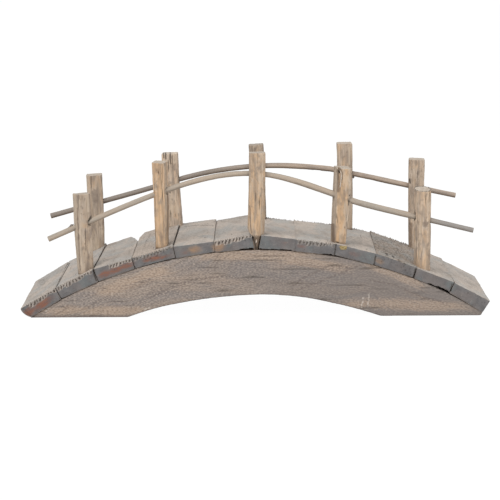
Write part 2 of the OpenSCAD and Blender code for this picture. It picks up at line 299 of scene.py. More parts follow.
# Bare wood on the stained front ends, in millimetres: how far behind the front it ends, then kind, x
# and half width, depth below the board's top and half height, and how strong it is
STAIN_DEEP = 4
BARE = (
    ("rust", -242, 8, 8.5, 5.0, 1.0), ("rust", -226, 11, 8.0, 4.5, 1.0),
    ("rust", -159, 9, 9.0, 4.0, 0.8), ("rust", -148, 9, 8.0, 4.0, 0.9), ("rust", -137, 10, 6.5, 4.0, 0.8),
    ("rust", -114, 6, 6.0, 3.0, 1.0), ("rust", -106, 7, 7.5, 3.0, 1.0), ("rust", -97, 8, 9.0, 2.6, 0.7),
    ("amber", -64, 8, 6.5, 4.5, 0.8), ("rust", -74, 7, 8.5, 3.0, 0.4),
    ("amber", -39, 7, 6.5, 5.5, 1.0), ("amber", -20, 5, 3.0, 1.5, 0.8),
    ("rust", 32, 6, 6.0, 3.5, 0.35), ("rust", 49, 7, 6.0, 3.5, 0.4), ("rust", 105, 9, 6.0, 4.0, 0.4),
    ("amber", 132, 6, 7.0, 4.0, 0.6),
)

# Marks in the main view, for the pieces that they cross: the kind, half width and the pixels that
# they run through
CRACK_DEPTH = 0.5 * MM
MARKS = {
    ("front_post_1",): (
        ("pale", 1.6, ((74.2, 195), (74.6, 204), (75.6, 228), (76.4, 250), (77.2, 262), (78, 268))),
        ("pale", 1.2, ((87.6, 195), (88, 203), (88.2, 211))),
        ("line", 0.35, ((77.2, 208), (77.6, 222), (78.6, 236), (79.2, 252), (80.2, 270))),
        ("pale", 0.6, ((79.4, 200), (79.8, 215), (80.2, 235), (81, 256), (82.6, 272))),
        ("crack", 0.6, ((91.4, 216.2), (89.6, 218.6), (88.6, 221.2))),
        ("crack", 0.7, ((89.4, 223.4), (91.6, 223.6))),
    ),
    # The line below is painted shade along the second front post's right edge, where it stands before the
    # rear post
    ("front_post_2", "rear_post_2"): (
        ("line", 0.7, ((167.6, 190), (168, 205), (167.8, 225), (168.4, 247))),
        ("crack", 0.6, ((169.4, 191.4), (170.2, 193))),
    ),
    ("rear_post_2",): (
        ("crack", 0.6, ((165.4, 152), (165.8, 159))),
        ("crack", 0.6, ((170.4, 152), (170, 158), (170.8, 164))),
        ("crack", 0.5, ((163.4, 152.4), (163.8, 158))),
        ("pale", 1.6, ((174.6, 153), (174.8, 162))),
    ),
    ("rear_post_5",): (
        ("line", 1.6, ((410.4, 224), (410.6, 236), (411, 248))),
        ("crack", 0.8, ((409.2, 179.4), (410, 183))),
    ),
    ("rear_post_4",): (
        ("pale", 0.8, ((349, 148), (349.4, 164))),
        ("crack", 0.8, ((352.6, 172.2), (353, 177.6))),
    ),
    ("front_post_3",): (
        ("line", 0.6, ((249.8, 206), (250.2, 218), (250.6, 226), (251.4, 233))),
        ("crack", 1.0, ((255.8, 247.8), (256.4, 250.2))),
        ("crack", 0.7, ((253.2, 237.5), (254.6, 242), (256, 248))),
        ("crack", 1.7, ((262.4, 236.6), (260.8, 241.5), (259, 248))),
    ),
    ("front_post_4",): (
        ("line", 1.3, ((337.8, 170), (338.4, 178), (338.6, 185), (338.2, 191))),
        ("line", 1.7, ((332.8, 225), (333, 233), (333.6, 241))),
        ("crack", 0.7, ((336.2, 242.2), (338.4, 242.8))),
        ("line", 0.7, ((341.2, 169.5), (342.4, 173.5), (342, 180))),
        ("crack", 0.5, ((348.9, 201.2), (348.7, 205.2))),
        ("pale", 0.5, ((349.9, 199.6), (350.4, 205))),
    ),
    ("front_post_4", "rear_post_4"): (
        ("crack", 0.5, ((349.6, 195.4), (350.4, 197.6), (351.2, 199))),
    ),
    ("front_post_5",): (
        ("crack", 0.7, ((414.8, 213.2), (414.4, 216), (415.2, 218.8))),
        ("crack", 0.6, ((431.4, 216.8), (431.6, 220.6))),
    ),
    ("deck_board_05",): (
        ("line", 0.5, ((184.5, 226.8), (197, 225.2), (213.5, 225.6))),
        ("line", 0.8, ((204.6, 237.6), (207.4, 236.8))),
    ),
    ("deck_board_04",): (
        ("line", 0.6, ((150.5, 234), (148.8, 237.4))),
        ("line", 0.6, ((147.8, 238.6), (146.6, 241.6))),
        ("line", 0.6, ((145.6, 242.8), (144.4, 246))),
    ),
    ("deck_board_01",): (
        ("line", 0.7, (
            (38.5, 282.5), (40, 280.2), (43, 279.8), (45, 281.5), (44, 284.2), (41, 285), (38.5, 282.5),
        )),
        ("line", 1.0, ((41, 282.5), (42.6, 282))),
    ),
    # These cracks along the seams between boards, and those of the pairs below, are painted shade in the
    # gaps; they also sink in
    ("deck_board_01", "deck_board_02"): (
        ("crack", 0.4, ((56.6, 286.5), (69.4, 263.2))),
    ),
    ("deck_board_02", "deck_board_03"): (
        ("crack", 0.4, ((94.2, 267.6), (105.2, 246.6))),
        ("crack", 0.8, ((93.2, 268.6), (94.4, 275), (96.4, 280.5))),
    ),
    ("deck_board_04", "deck_board_05"): (
        ("crack", 0.6, ((173.4, 244.6), (179.2, 226.4))),
    ),
    ("deck_board_08", "deck_board_09"): (
        ("crack", 0.6, ((336, 244.5), (334.2, 255.5))),
    ),
    ("deck_board_09", "deck_board_10"): (
        ("crack", 0.5, ((375.8, 256.5), (374.2, 265))),
    ),
    ("deck_board_10", "deck_board_11"): (
        ("crack", 0.8, ((415.6, 269), (413.6, 278))),
    ),
    ("deck_board_11", "deck_board_12"): (
        ("crack", 0.5, ((452, 284), (450.6, 291))),
    ),
    ("deck_board_10",): (
        ("crack", 0.7, ((385.8, 253.4), (387.6, 254.4))),
        ("crack", 0.7, ((392.4, 256), (393.8, 256.9))),
        ("crack", 0.6, ((398.4, 260.4), (400.2, 261.2))),
        ("crack", 0.6, ((404, 263.2), (405.6, 264))),
    ),
    ("front_stringer",): (
        ("pale", 0.6, ((369, 294.6), (368.6, 301))),
        ("pale", 0.6, ((363.2, 297.5), (362.6, 303))),
        ("pale", 0.6, ((361.8, 303.5), (361.6, 307.5))),
        ("pale", 0.6, ((368.2, 302.5), (367.6, 307))),
        ("pale", 0.8, ((46.2, 311), (47.8, 308.8))),
        ("pale", 0.7, ((144.6, 309.4), (149.6, 307.6))),
        ("line", 0.9, ((291, 288), (303, 278), (320, 270), (333, 265), (349, 268))),
        ("line", 0.8, ((297, 290), (314, 284), (339, 274), (360, 265))),
        ("line", 0.8, ((150, 298), (170, 288), (196, 279), (225, 276), (250, 281))),
        ("line", 0.8, ((370, 280), (395, 285), (420, 296), (446, 303))),
    ),
}

# Sides of a splinter, and steps between two of its pixels
STRIP_SIDES = 6
PATH_STEPS = 4

# Splinters: the piece that they lie on, or the rail that they stand over, half thickness in
# millimetres, the finish and the pixels that they cross in the main view
SPLINTERS = (
    ("front_rail", 0.8, "sliver_wood", ((67.6, 228.6), (70.5, 226.2), (74.6, 223.6))),
    ("front_rail", 0.9, "sliver_wood", ((68.4, 228.4), (71.6, 226.6), (75.2, 225.2))),
    ("front_rail", 0.7, "sliver_wood", ((69.8, 226.6), (71.0, 225.0), (72.6, 224.2))),
    # A dark sliver that is also painted shade in the gap under the rear rail by the fourth rear post
    ("rear_rail", 1.0, "sliver_wood", ((353.2, 175.0), (353.6, 177.0), (353.0, 178.8))),
    ("front_post_4_timber", 0.75, "pale_splinter",
     ((337.4, 168.4), (340.4, 170.6), (341.2, 175), (340.6, 182), (339.4, 190))),
    ("front_post_3_timber", 0.7, "pale_splinter", ((256.6, 239.4), (256.3, 241.4), (255.8, 243.4))),
)

# Drops: the piece, its pixel in the main view, size across, up and out in millimetres, and the finish
DROPS = (
    ("deck_board_09_timber", (344.2, 248.0), (4.2, 2.0, 0.8), "glue"),
    ("deck_board_09_timber", (341.0, 246.6), (1.6, 1.2, 0.7), "glue"),
    ("deck_board_04_timber", (168.8, 245.4), (2.0, 1.3, 1.0), "sliver_wood"),
    ("deck_board_04_timber", (171.2, 244.0), (1.4, 1.8, 1.0), "sliver_wood"),
    ("deck_board_04_timber", (170.4, 247.2), (2.2, 1.1, 0.9), "sliver_wood"),
    ("deck_board_04_timber", (155.4, 249.6), (1.8, 0.9, 0.8), "sliver_wood"),
)

# Canes: finish, its pale, dark and grey colours, the millimetres along the bridge where the grey starts
# and is full, and how dark the painted shade on the underside is
CANES = (
    ("front_cane", "cane_front", "cane_front_dark", "cane_grey", 170.0, 205.0, 0.35),
    ("rear_cane", "cane_rear", "cane_rear_dark", "cane_brown", 60.0, -60.0, 0.75),
)

# Spotted finishes: two colours, the spots' size in millimetres and detail, where they start and are full,
# roughness and how much the spots add to it, and how far they stand out in millimetres
SPOTTED = (
    ("sliver_wood", "deck_shade", "deck_dark", 1.5, 2.0, 0.25, 0.6, 0.85, 0.1, 0.2),
    ("pale_splinter", "deck_light", "post_tan", 1.5, 2.0, 0.25, 0.6, 0.85, 0.1, 0.2),
    ("glue", "glue_amber", "glue_pale", 2.0, 3.0, 0.35, 0.65, 0.25, 0.3, 0.3),
)

# Colours of the timber, in linear light
COLOURS = {
    "deck_pale": ("Pale patches on the boards", (0.50, 0.435, 0.38)),
    "deck_shade": ("Shaded patches on the boards", (0.345, 0.30, 0.26)),
    "deck_cool": ("Bluish patches on the boards", (0.40, 0.385, 0.362)),
    "deck_light": ("Raised fibres on the boards", (0.56, 0.50, 0.44)),
    "deck_dark": ("Hollows in the boards", (0.22, 0.19, 0.165)),
    "slate": ("Stain on the board ends", (0.176, 0.166, 0.164)),
    "slate_dark": ("Darker stain on the board ends", (0.126, 0.12, 0.12)),
    "slate_teal": ("Bluish green in the stain", (0.152, 0.172, 0.172)),
    "slate_warm": ("Brownish stain on the board ends", (0.182, 0.15, 0.136)),
    "rust": ("Bare red wood on the board ends", (0.225, 0.1, 0.066)),
    "amber_wood": ("Bare orange wood on the board ends", (0.30, 0.195, 0.125)),
    # The crack colour is also painted shade in the gaps along the seams and round the bores
    "crack": ("Inside of cracks", (0.035, 0.028, 0.022)),
    "post_tan": ("Split wood", (0.465, 0.375, 0.295)),
    "post_orange": ("Warm split wood", (0.60, 0.40, 0.24)),
    "post_brown": ("Late wood in the posts", (0.36, 0.255, 0.165)),
    "post_grey": ("Weathered wood of the posts", (0.42, 0.345, 0.275)),
    "post_shade": ("Weathered blotches on the posts", (0.25, 0.2, 0.162)),
    # Also painted shade on the canes' undersides, along a post's edge and in the centre post's notch
    "post_dark": ("Dark fibres of the posts", (0.17, 0.12, 0.085)),
    "post_sawn": ("Sawn tops of the posts", (0.52, 0.46, 0.39)),
    "post_pale": ("Pale fibres of the posts", (0.60, 0.49, 0.375)),
    "arch_brown": ("Arch planks", (0.295, 0.24, 0.2)),
    "arch_grey": ("Weathered arch planks", (0.245, 0.215, 0.198)),
    "arch_shade": ("Grey that grows to the right of the arch", (0.182, 0.162, 0.152)),
    "arch_tan": ("Tan patches on the arch", (0.40, 0.30, 0.225)),
    # Also painted shade on the arch's downward faces and in the gaps of the saw tear-out
    "arch_dark": ("Dark bands on the arch", (0.15, 0.12, 0.105)),
    "arch_pale": ("Pale fuzz on the arch", (0.46, 0.38, 0.315)),
    "cane_front": ("Front handrail", (0.42, 0.34, 0.265)),
    "cane_front_dark": ("Worn front handrail", (0.36, 0.316, 0.265)),
    "cane_rear": ("Rear handrail", (0.48, 0.38, 0.297)),
    "cane_rear_dark": ("Worn rear handrail", (0.31, 0.255, 0.213)),
    "cane_grey": ("Greyed end of the front handrail", (0.262, 0.245, 0.232)),
    "cane_brown": ("Dull length of the rear handrail", (0.238, 0.208, 0.183)),
    "glue_amber": ("Dried glue", (0.235, 0.16, 0.05)),
    "glue_pale": ("Milky glue", (0.35, 0.28, 0.15)),
}


class Wire:
    """A socket that can be used in Python expressions."""

    def __init__(self, graph, socket):
        self.graph = graph
        self.socket = socket

    def math(self, operation, *others):
        values = dict(enumerate((self,) + others))
        return self.graph.add("ShaderNodeMath", {"operation": operation}, values)

    def __rsub__(self, other):
        return self.graph.add("ShaderNodeMath", {"operation": "SUBTRACT"}, {0: other, 1: self})

    __add__ = __radd__ = partialmethod(math, "ADD")
    __sub__ = partialmethod(math, "SUBTRACT")
    __mul__ = __rmul__ = partialmethod(math, "MULTIPLY")
    __truediv__ = partialmethod(math, "DIVIDE")
    size = partialmethod(math, "ABSOLUTE")
    fraction = partialmethod(math, "FRACT")
    least = partialmethod(math, "MINIMUM")
    most = partialmethod(math, "MAXIMUM")

    def ease(self, low, high):
        """0 below low, 1 above high and smooth between; falls where low is over high."""
        settings = {"interpolation_type": "SMOOTHSTEP"}
        return self.graph.add("ShaderNodeMapRange", settings, {0: self, 1: low, 2: high})


class Graph:
    """A node tree, for shaders or geometry, that is written as expressions."""

    def __init__(self, tree):
        self.tree = tree

    def add(self, kind, settings=None, inputs=None, out=0):
        node = self.tree.nodes.new(kind)
        for name, value in (settings or {}).items():
            setattr(node, name, value)
        for key, value in (inputs or {}).items():
            self.feed(node.inputs[key], value)
        return Wire(self, node.outputs[out]) if len(node.outputs) else node

    def feed(self, socket, value):
        if isinstance(value, Wire):
            self.tree.links.new(value.socket, socket)
        elif isinstance(value, bpy.types.bpy_struct):
            socket.default_value = value
        elif socket.type == "RGBA" and len(value) == 3:
            socket.default_value = (*value, 1.0)
        else:
            socket.default_value = value

    def vector(self, operation, *values):
        settings = {"operation": operation}
        out = 1 if operation == "DOT_PRODUCT" else 0
        return self.add("ShaderNodeVectorMath", settings, dict(enumerate(values)), out)

    def scaled(self, vector, amount):
        return self.add("ShaderNodeVectorMath", {"operation": "SCALE"}, {0: vector, "Scale": amount})

    def parts(self, vector):
        node = self.tree.nodes.new("ShaderNodeSeparateXYZ")
        self.feed(node.inputs[0], vector)
        return [Wire(self, socket) for socket in node.outputs]

    def join(self, x, y, z):
        return self.add("ShaderNodeCombineXYZ", None, {0: x, 1: y, 2: z})

    def noise(self, vector, stretch, detail=3.0, rough=0.55, warp=0.0):
        """Noise whose features are about stretch millimetres long on each axis."""
        place = self.vector("DIVIDE", vector, stretch)
        inputs = {"Vector": place, "Scale": 1.0, "Detail": detail, "Roughness": rough, "Distortion": warp}
        return self.add("ShaderNodeTexNoise", {"noise_dimensions": "3D"}, inputs)

    def mix(self, factor, first, second, blend="MIX"):
        settings = {"data_type": "RGBA", "blend_type": blend}
        return self.add("ShaderNodeMix", settings, {0: factor, 6: first, 7: second}, out=2)

    def lay(self, colour, *layers):
        """Lays colours over a first one, each with its share."""
        for share, over in layers:
            colour = self.mix(share, colour, over)
        return colour

    def toned(self, colour):
        """A colour times the piece's tone."""
        tone = self.share("tone")
        return self.mix(1.0, colour, self.join(tone, tone, tone), "MULTIPLY")

    def attribute(self, name, out="Vector"):
        return self.add("ShaderNodeAttribute", {"attribute_name": name}, None, out)

    def share(self, name):
        return self.attribute(name, "Fac")

    def place(self):
        """Object coordinates in millimetres."""
        return self.scaled(self.add("ShaderNodeTexCoord", None, None, "Object"), 1 / MM)


def geometry_graph(name, inputs):
    """A geometry tree with named inputs: returns the graph and a wire for each input."""
    tree = bpy.data.node_groups.new(name, "GeometryNodeTree")
    tree.is_modifier = True
    tree.interface.new_socket("Geometry", in_out="INPUT", socket_type="NodeSocketGeometry")
    tree.interface.new_socket("Geometry", in_out="OUTPUT", socket_type="NodeSocketGeometry")
    for label, kind in inputs.items():
        tree.interface.new_socket(label, in_out="INPUT", socket_type=f"NodeSocket{kind}")
    graph = Graph(tree)
    source = tree.nodes.new("NodeGroupInput")
    wires = {socket.name: Wire(graph, socket) for socket in source.outputs if socket.name}
    return graph, wires


def end_tree(graph, geometry, material):
    """Realizes instances, sets the material and closes the tree."""
    whole = graph.add("GeometryNodeRealizeInstances", None, {0: geometry})
    dressed = graph.add("GeometryNodeSetMaterial", None, {"Geometry": whole, "Material": material})
    sink = graph.tree.nodes.new("NodeGroupOutput")
    graph.feed(sink.inputs[0], dressed)


def store(graph, geometry, name, kind, value):
    inputs = {"Geometry": geometry, "Name": name, "Value": value}
    return graph.add("GeometryNodeStoreNamedAttribute", {"data_type": kind, "domain": "POINT"}, inputs)


def timber_tree():
    """Weathers a timber: fibres and checks along the grain, pits, worn edges and saw tear-out.

    The surface only moves inwards, apart from sides that swell. Lengths in the tree are millimetres.
    """
    graph, wire = geometry_graph("Weathered timber", {
        "Material": "Material",
        "Centre": "Vector", "Turn": "Vector", "Shift": "Vector",
        "Fibre Pitch": "Float", "Fibre Depth": "Float", "Lump Size": "Float", "Lump Depth": "Float",
        "Check Depth": "Float", "Check Width": "Float", "Pit Depth": "Float", "Wear": "Float",
        "Spare Side": "Float", "Spare Top": "Float", "Spare Bottom": "Float",
        "Box Low": "Vector", "Box High": "Vector",
        "Top Level": "Float", "Front Level": "Float",
        "Tear From": "Float", "Tear To": "Float", "Tear Depth": "Float", "Tear Pitch": "Float",
        "Coarse": "Float", "Swell": "Float", "Tear Dark": "Float",
        "Bottom Level": "Float", "Bottom Slope": "Float",
        "Lift From": "Float", "Lift To": "Float", "Lift": "Float",
        "Tone": "Float", "Warm": "Float", "Grey": "Float", "Grey Left": "Float", "Grey Right": "Float",
    })
    place = graph.add("GeometryNodeInputPosition")
    normal = graph.add("GeometryNodeInputNormal")
    rotate = {"rotation_type": "EULER_XYZ"}
    out = graph.scaled(graph.vector("SUBTRACT", place, wire["Centre"]), 1 / MM)
    local = graph.add("ShaderNodeVectorRotate", rotate, {"Vector": out, "Rotation": wire["Turn"]})
    facing = graph.add("ShaderNodeVectorRotate", rotate, {"Vector": normal, "Rotation": wire["Turn"]})
    grain = graph.vector("ADD", local, wire["Shift"])
    side, up, along = graph.parts(local)
    face_side, face_up = graph.parts(facing)[:2]
    at_side = face_side.size().ease(0.5, 0.8)

    # Fibres, lumps, checks and pits
    pitch = wire["Fibre Pitch"]
    fibre = graph.noise(grain, graph.join(pitch, pitch, pitch * 22), 4.0, 0.6, 0.3)
    lump = wire["Lump Size"]
    hollow = graph.noise(grain, graph.join(lump, lump, lump * 2.5), 2.0)
    line = graph.noise(grain, (6, 6, 420), 2.0, 0.5)
    where = graph.noise(grain, (11, 11, 32), 1.0).ease(0.46, 0.6)
    check = (line - 0.5).size().ease(wire["Check Width"], wire["Check Width"] * 0.25) * where
    pit = graph.noise(grain, (2.4, 2.4, 3.6), 2.0, 0.6).ease(0.58, 0.70)
    pit = pit * graph.noise(grain, (16, 16, 24), 2.0).ease(0.36, 0.56) * (wire["Pit Depth"] * 2).least(1.0)

    # Edges stand out from the smoothed surface
    blur = graph.add("GeometryNodeBlurAttribute", {"data_type": "FLOAT_VECTOR"},
                     {"Value": place, "Iterations": 6})
    proud = graph.vector("DOT_PRODUCT", normal, graph.vector("SUBTRACT", place, blur)) / MM
    edge = proud.ease(0.12, 0.55)
    chip = graph.noise(grain, (5, 5, 7), 3.0, 0.6)

    # Saw teeth torn from the front upper edge
    depth = wire["Top Level"] - up
    front = wire["Front Level"] - along
    jitter = graph.noise(grain, (8, 8, 8), 1.0) * 5
    run = (side + jitter + depth * 0.35) / wire["Tear Pitch"]
    phase = run.fraction()
    notch = phase.ease(0.05, 0.25) * phase.ease(0.75, 0.5)
    tooth = graph.noise(graph.join(run.math("FLOOR") * 7.31, 0.0, 0.0), (1, 1, 1), 0.0)
    reach = tooth.ease(0.25, 0.75) * 4.0 + 2.2
    span = side.ease(wire["Tear From"] - 2, wire["Tear From"] + 2)
    span = span * side.ease(wire["Tear To"] + 2, wire["Tear To"] - 2)
    span = span * front.ease(3.0, 0.8) * (wire["Tear Depth"] * 50).least(1.0)
    fringe = (depth - reach).ease(0.5, -0.5) * span
    torn = notch * (depth - reach).ease(0.3, -0.9) * span

    spare = at_side * wire["Spare Side"]
    spare = spare.most(face_up.ease(0.5, 0.8) * wire["Spare Top"])
    spare = spare.most(face_up.ease(-0.5, -0.8) * wire["Spare Bottom"])
    sink = (0.72 - fibre).most(0.0) * wire["Fibre Depth"] * 1.6
    sink = sink + (0.7 - hollow).most(0.0) * wire["Lump Depth"] * 1.6
    sink = (sink + pit * wire["Pit Depth"]) * (1 - spare)
    sink = sink + check * wire["Check Depth"] - at_side * wire["Swell"]
    sink = sink + edge * wire["Wear"] * chip.ease(0.3, 0.75)
    sink = sink + torn * wire["Tear Depth"]
    offset = graph.scaled(normal, sink * -MM)

    # A gap lifted under the front edge
    ragged = graph.noise(grain, (4, 4, 4), 2.0).ease(0.3, 0.7) * 0.7 + 0.5
    gap = wire["Lift"] * ragged * side.ease(wire["Lift From"], wire["Lift From"] + 5)
    gap = gap * side.ease(wire["Lift To"], wire["Lift To"] - 3) * front.ease(26.0, 14.0)
    above = up - wire["Bottom Level"] - side * wire["Bottom Slope"]
    gap = (gap - above).most(0.0) * (wire["Lift"] * 50).least(1.0)
    lifted = graph.join(0.0, 0.0, gap * MM)
    offset = graph.vector("ADD", offset, lifted)

    # Grey on faces turned to the left and right, which also paints light and shade on those sides
    grey = wire["Grey"] + face_side.ease(-0.3, -0.75) * wire["Grey Left"]
    grey = grey + face_side.ease(0.3, 0.75) * wire["Grey Right"]
    geometry = wire["Geometry"]
    vectors = {"grain": grain, "facing": facing}
    values = {
        "fibre": fibre, "check": check, "pit": pit, "edge": edge * chip,
        # The torn gaps are kept as painted shade for the finish
        "torn": torn * wire["Tear Dark"],
        "fringe": fringe * wire["Tear Dark"], "coarse": wire["Coarse"],
        "tone": wire["Tone"], "warm": wire["Warm"], "grey": grey,
    }
    for name, value in vectors.items():
        geometry = store(graph, geometry, name, "FLOAT_VECTOR", value)
    for name, value in values.items():
        geometry = store(graph, geometry, name, "FLOAT", value)
    inside = graph.vector("MAXIMUM", graph.vector("ADD", place, offset), wire["Box Low"])
    inside = graph.vector("MINIMUM", inside, wire["Box High"])
    moved = graph.add("GeometryNodeSetPosition", None, {"Geometry": geometry, "Position": inside})
    end_tree(graph, moved, wire["Material"])


def cane_tree():
    """A whittled cane along a curve, with the run along it and round it kept for its finish."""
    graph, wire = geometry_graph("Whittled cane", {
        "Material": "Material", "Radius": "Float", "Thinner": "Float", "Step": "Float", "Shift": "Float",
    })
    fine = graph.add("GeometryNodeResampleCurve", {"mode": "LENGTH"},
                     {"Curve": wire["Geometry"], "Length": wire["Step"]})
    parameter = graph.tree.nodes.new("GeometryNodeSplineParameter")
    share = Wire(graph, parameter.outputs["Factor"])
    length = Wire(graph, parameter.outputs["Length"])
    fine = store(graph, fine, "run", "FLOAT", length / MM)
    swell = graph.noise(graph.join(length / MM + wire["Shift"], 0.0, 0.0), (30, 30, 30), 2.0)
    radius = wire["Radius"] * (1 - wire["Thinner"] * share) * (0.94 + 0.08 * swell)
    fine = graph.add("GeometryNodeSetCurveRadius", None, {"Curve": fine, "Radius": radius})
    ring = graph.add("GeometryNodeCurvePrimitiveCircle", {"mode": "RADIUS"},
                     {"Resolution": 20, "Radius": 1.0})
    turn = graph.tree.nodes.new("GeometryNodeSplineParameter")
    ring = store(graph, ring, "around", "FLOAT", Wire(graph, turn.outputs["Factor"]))
    tube = graph.add("GeometryNodeCurveToMesh", None,
                     {"Curve": fine, "Profile Curve": ring, "Scale": radius, "Fill Caps": True})
    around = graph.add("GeometryNodeInputNamedAttribute", {"data_type": "FLOAT"}, {"Name": "around"})
    run = graph.add("GeometryNodeInputNamedAttribute", {"data_type": "FLOAT"}, {"Name": "run"})
    angle = around * math.tau
    circle = graph.join(angle.math("COSINE") * 3, angle.math("SINE") * 3, run + wire["Shift"])
    facet = ((angle * 8).math("COSINE") * 0.5 + 0.5) * graph.noise(circle, (4, 4, 40), 2.0)
    fibre = graph.noise(circle, (1.1, 1.1, 26), 3.0, 0.6)
    knot = graph.noise(circle, (5, 5, 14), 2.0).ease(0.62, 0.75)
    sink = facet * 0.35 + fibre * 0.3 + knot * 0.3
    normal = graph.add("GeometryNodeInputNormal")
    for name, value in {"fibre": fibre, "knot": knot}.items():
        tube = store(graph, tube, name, "FLOAT", value)
    tube = store(graph, tube, "grain", "FLOAT_VECTOR", circle)
    tube = store(graph, tube, "facing", "FLOAT_VECTOR", normal)
    moved = graph.add("GeometryNodeSetPosition", None,
                      {"Geometry": tube, "Offset": graph.scaled(normal, sink * -MM)})
    end_tree(graph, moved, wire["Material"])


def fringe_tree():
    """Slivers left by the saw, standing along a line."""
    graph, wire = geometry_graph("Saw fringe", {
        "Material": "Material", "Pitch": "Float", "Tall": "Float", "Thick": "Float",
        "Lean": "Vector", "Spread": "Float", "Seed": "Int",
    })
    line = graph.add("GeometryNodeMeshToCurve", None, {"Mesh": wire["Geometry"]})
    dots = graph.add("GeometryNodeCurveToPoints", {"mode": "LENGTH"},
                     {"Curve": line, "Length": wire["Pitch"]})
    sliver = graph.add("GeometryNodeMeshCone", {"fill_type": "TRIANGLE_FAN"}, {
        "Vertices": 4, "Side Segments": 2, "Radius Top": wire["Thick"] * 0.15,
        "Radius Bottom": wire["Thick"], "Depth": wire["Tall"],
    })

    def chance(low, high, more):
        inputs = {2: low, 3: high, "Seed": wire["Seed"] + more}
        return graph.add("FunctionNodeRandomValue", {"data_type": "FLOAT"}, inputs, out=1)

    tilt = graph.join(chance(-0.2, 0.2, 1), chance(-1.0, 1.0, 2), chance(-1.0, 1.0, 3))
    turn = graph.vector("ADD", wire["Lean"], graph.scaled(tilt, wire["Spread"]))
    size = graph.join(chance(0.5, 1.3, 4), chance(0.5, 1.3, 5), chance(0.25, 1.0, 6))
    slivers = graph.add("GeometryNodeInstanceOnPoints", None, {
        "Points": dots, "Instance": sliver, "Rotation": turn, "Scale": size,
    })
    end_tree(graph, slivers, wire["Material"])


def add_tree(piece, name, material, values):
    """Puts a geometry tree on a piece and sets its inputs, found by name, through their identifiers."""
    tree = bpy.data.node_groups[name]
    modifier = piece.modifiers.new(name, "NODES")
    modifier.node_group = tree
    sockets = {item.name: item.identifier for item in tree.interface.items_tree if item.in_out == "INPUT"}
    modifier[sockets["Material"]] = bpy.data.materials[material]
    for label, value in values.items():
        modifier[sockets[label]] = value


def settle(piece):
    """Turns a piece with its modifiers into a plain mesh."""
    graph = bpy.context.evaluated_depsgraph_get()
    mesh = bpy.data.meshes.new_from_object(piece.evaluated_get(graph), preserve_all_data_layers=True,
                                           depsgraph=graph)
    name = piece.name
    bpy.data.objects.remove(piece, do_unlink=True)
    mesh.name = name
    mesh.shade_smooth()
    return new_object(name, mesh)


def camera_matrix():
    pitch = math.radians(CAMERA_PITCH)
    roll = math.radians(CAMERA_ROLL)
    right = Vector((1, 0, 0))
    up = Vector((0, math.sin(pitch), math.cos(pitch)))
    back = Vector((0, -math.cos(pitch), math.sin(pitch)))
    rolled_right = right * math.cos(roll) + up * math.sin(roll)
    rolled_up = up * math.cos(roll) - right * math.sin(roll)
    turn = Matrix((rolled_right, rolled_up, back)).transposed().to_4x4()
    return Matrix.Translation(CAMERA_PLACE) @ turn


def view_places(points):
    """Pixels of points in the main view."""
    right, up, back = np.array(camera_matrix().to_3x3().transposed())
    away = points - np.array(CAMERA_PLACE)
    depth = -(away @ back)
    middle = IMAGE_SIDE / 2
    across = middle + FOCAL * (away @ right) / depth
    down = middle - FOCAL * (away @ up) / depth
    return np.stack((across, down), axis=1)


def line_distance(pixels, line):
    """How far pixels lie from a line through other pixels."""
    least = np.full(len(pixels), np.inf)
    for first, second in zip(line, line[1:]):
        first = np.array(first)
        run = np.array(second) - first
        share = np.clip((pixels - first) @ run / (run @ run), 0, 1)
        least = np.minimum(least, np.linalg.norm(pixels - first - share[:, None] * run, axis=1))
    return least


def draw_marks(mesh, node):
    """Draws a piece's marks where the main view sees them; cracks also sink in."""
    points = vertices(mesh)
    normals = np.empty(len(points) * 3)
    mesh.vertices.foreach_get("normal", normals)
    normals = normals.reshape(-1, 3)
    seen = np.einsum("ij,ij->i", normals, np.array(CAMERA_PLACE) - points) > 0
    pixels = view_places(points)
    marks = [mark for names, group in MARKS.items() if node in names for mark in group]
    for kind in ("crack", "pale", "line"):
        amount = np.zeros(len(points))
        for mark, width, line in marks:
            if mark == kind:
                amount = np.maximum(amount, np.clip(1.5 - line_distance(pixels, line) / width, 0, 1))
        amount *= seen
        paint(mesh, kind, amount)
        if kind == "crack":
            points -= normals * (amount * CRACK_DEPTH)[:, None]
    move_to(mesh, points)


def hand_over(piece, slot, *nodes):
    """Draws a timber's marks, keeps a piece within the CAD box and says what it rides on and replaces."""
    if nodes and "timber" in piece.name:
        draw_marks(piece.data, nodes[0])
    move_to(piece.data, np.clip(vertices(piece.data), *CAD_BOX))
    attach(piece, BODY)
    if nodes:
        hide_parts(*nodes)
    return piece


def new_object(name, mesh):
    piece = bpy.data.objects.new(name, mesh)
    bpy.context.scene.collection.objects.link(piece)
    return piece


def node_copy(node, name):
    """A copy of a node's mesh with its loose triangles merged."""
    mesh = frame["nodes"][node].data.copy()
    mesh.materials.clear()
    work = bmesh.new()
    work.from_mesh(mesh)
    bmesh.ops.remove_doubles(work, verts=work.verts, dist=MERGE)
    work.to_mesh(mesh)
    work.free()
    return new_object(name, mesh)


def vertices(mesh):
    flat = np.empty(len(mesh.vertices) * 3)
    mesh.vertices.foreach_get("co", flat)
    return flat.reshape(-1, 3)


def move_to(mesh, points):
    """Puts a mesh's vertices in new places."""
    mesh.vertices.foreach_set("co", points.ravel())
    mesh.update()


def spread(values):
    """Values from 0 at their least to 1 at their greatest."""
    return (values - values.min()) / (values.max() - values.min())


def rail_rings(node):
    """The rings of points that a CAD rail is made of, from left to right."""
    copy = node_copy(node, node + "_rings")
    points = vertices(copy.data)
    bpy.data.objects.remove(copy, do_unlink=True)
    if len(points) % RAIL_SIDES:
        raise RuntimeError(f"{node} isn't made of whole rings")
    return points[np.argsort(points[:, 0])].reshape(-1, RAIL_SIDES, 3)


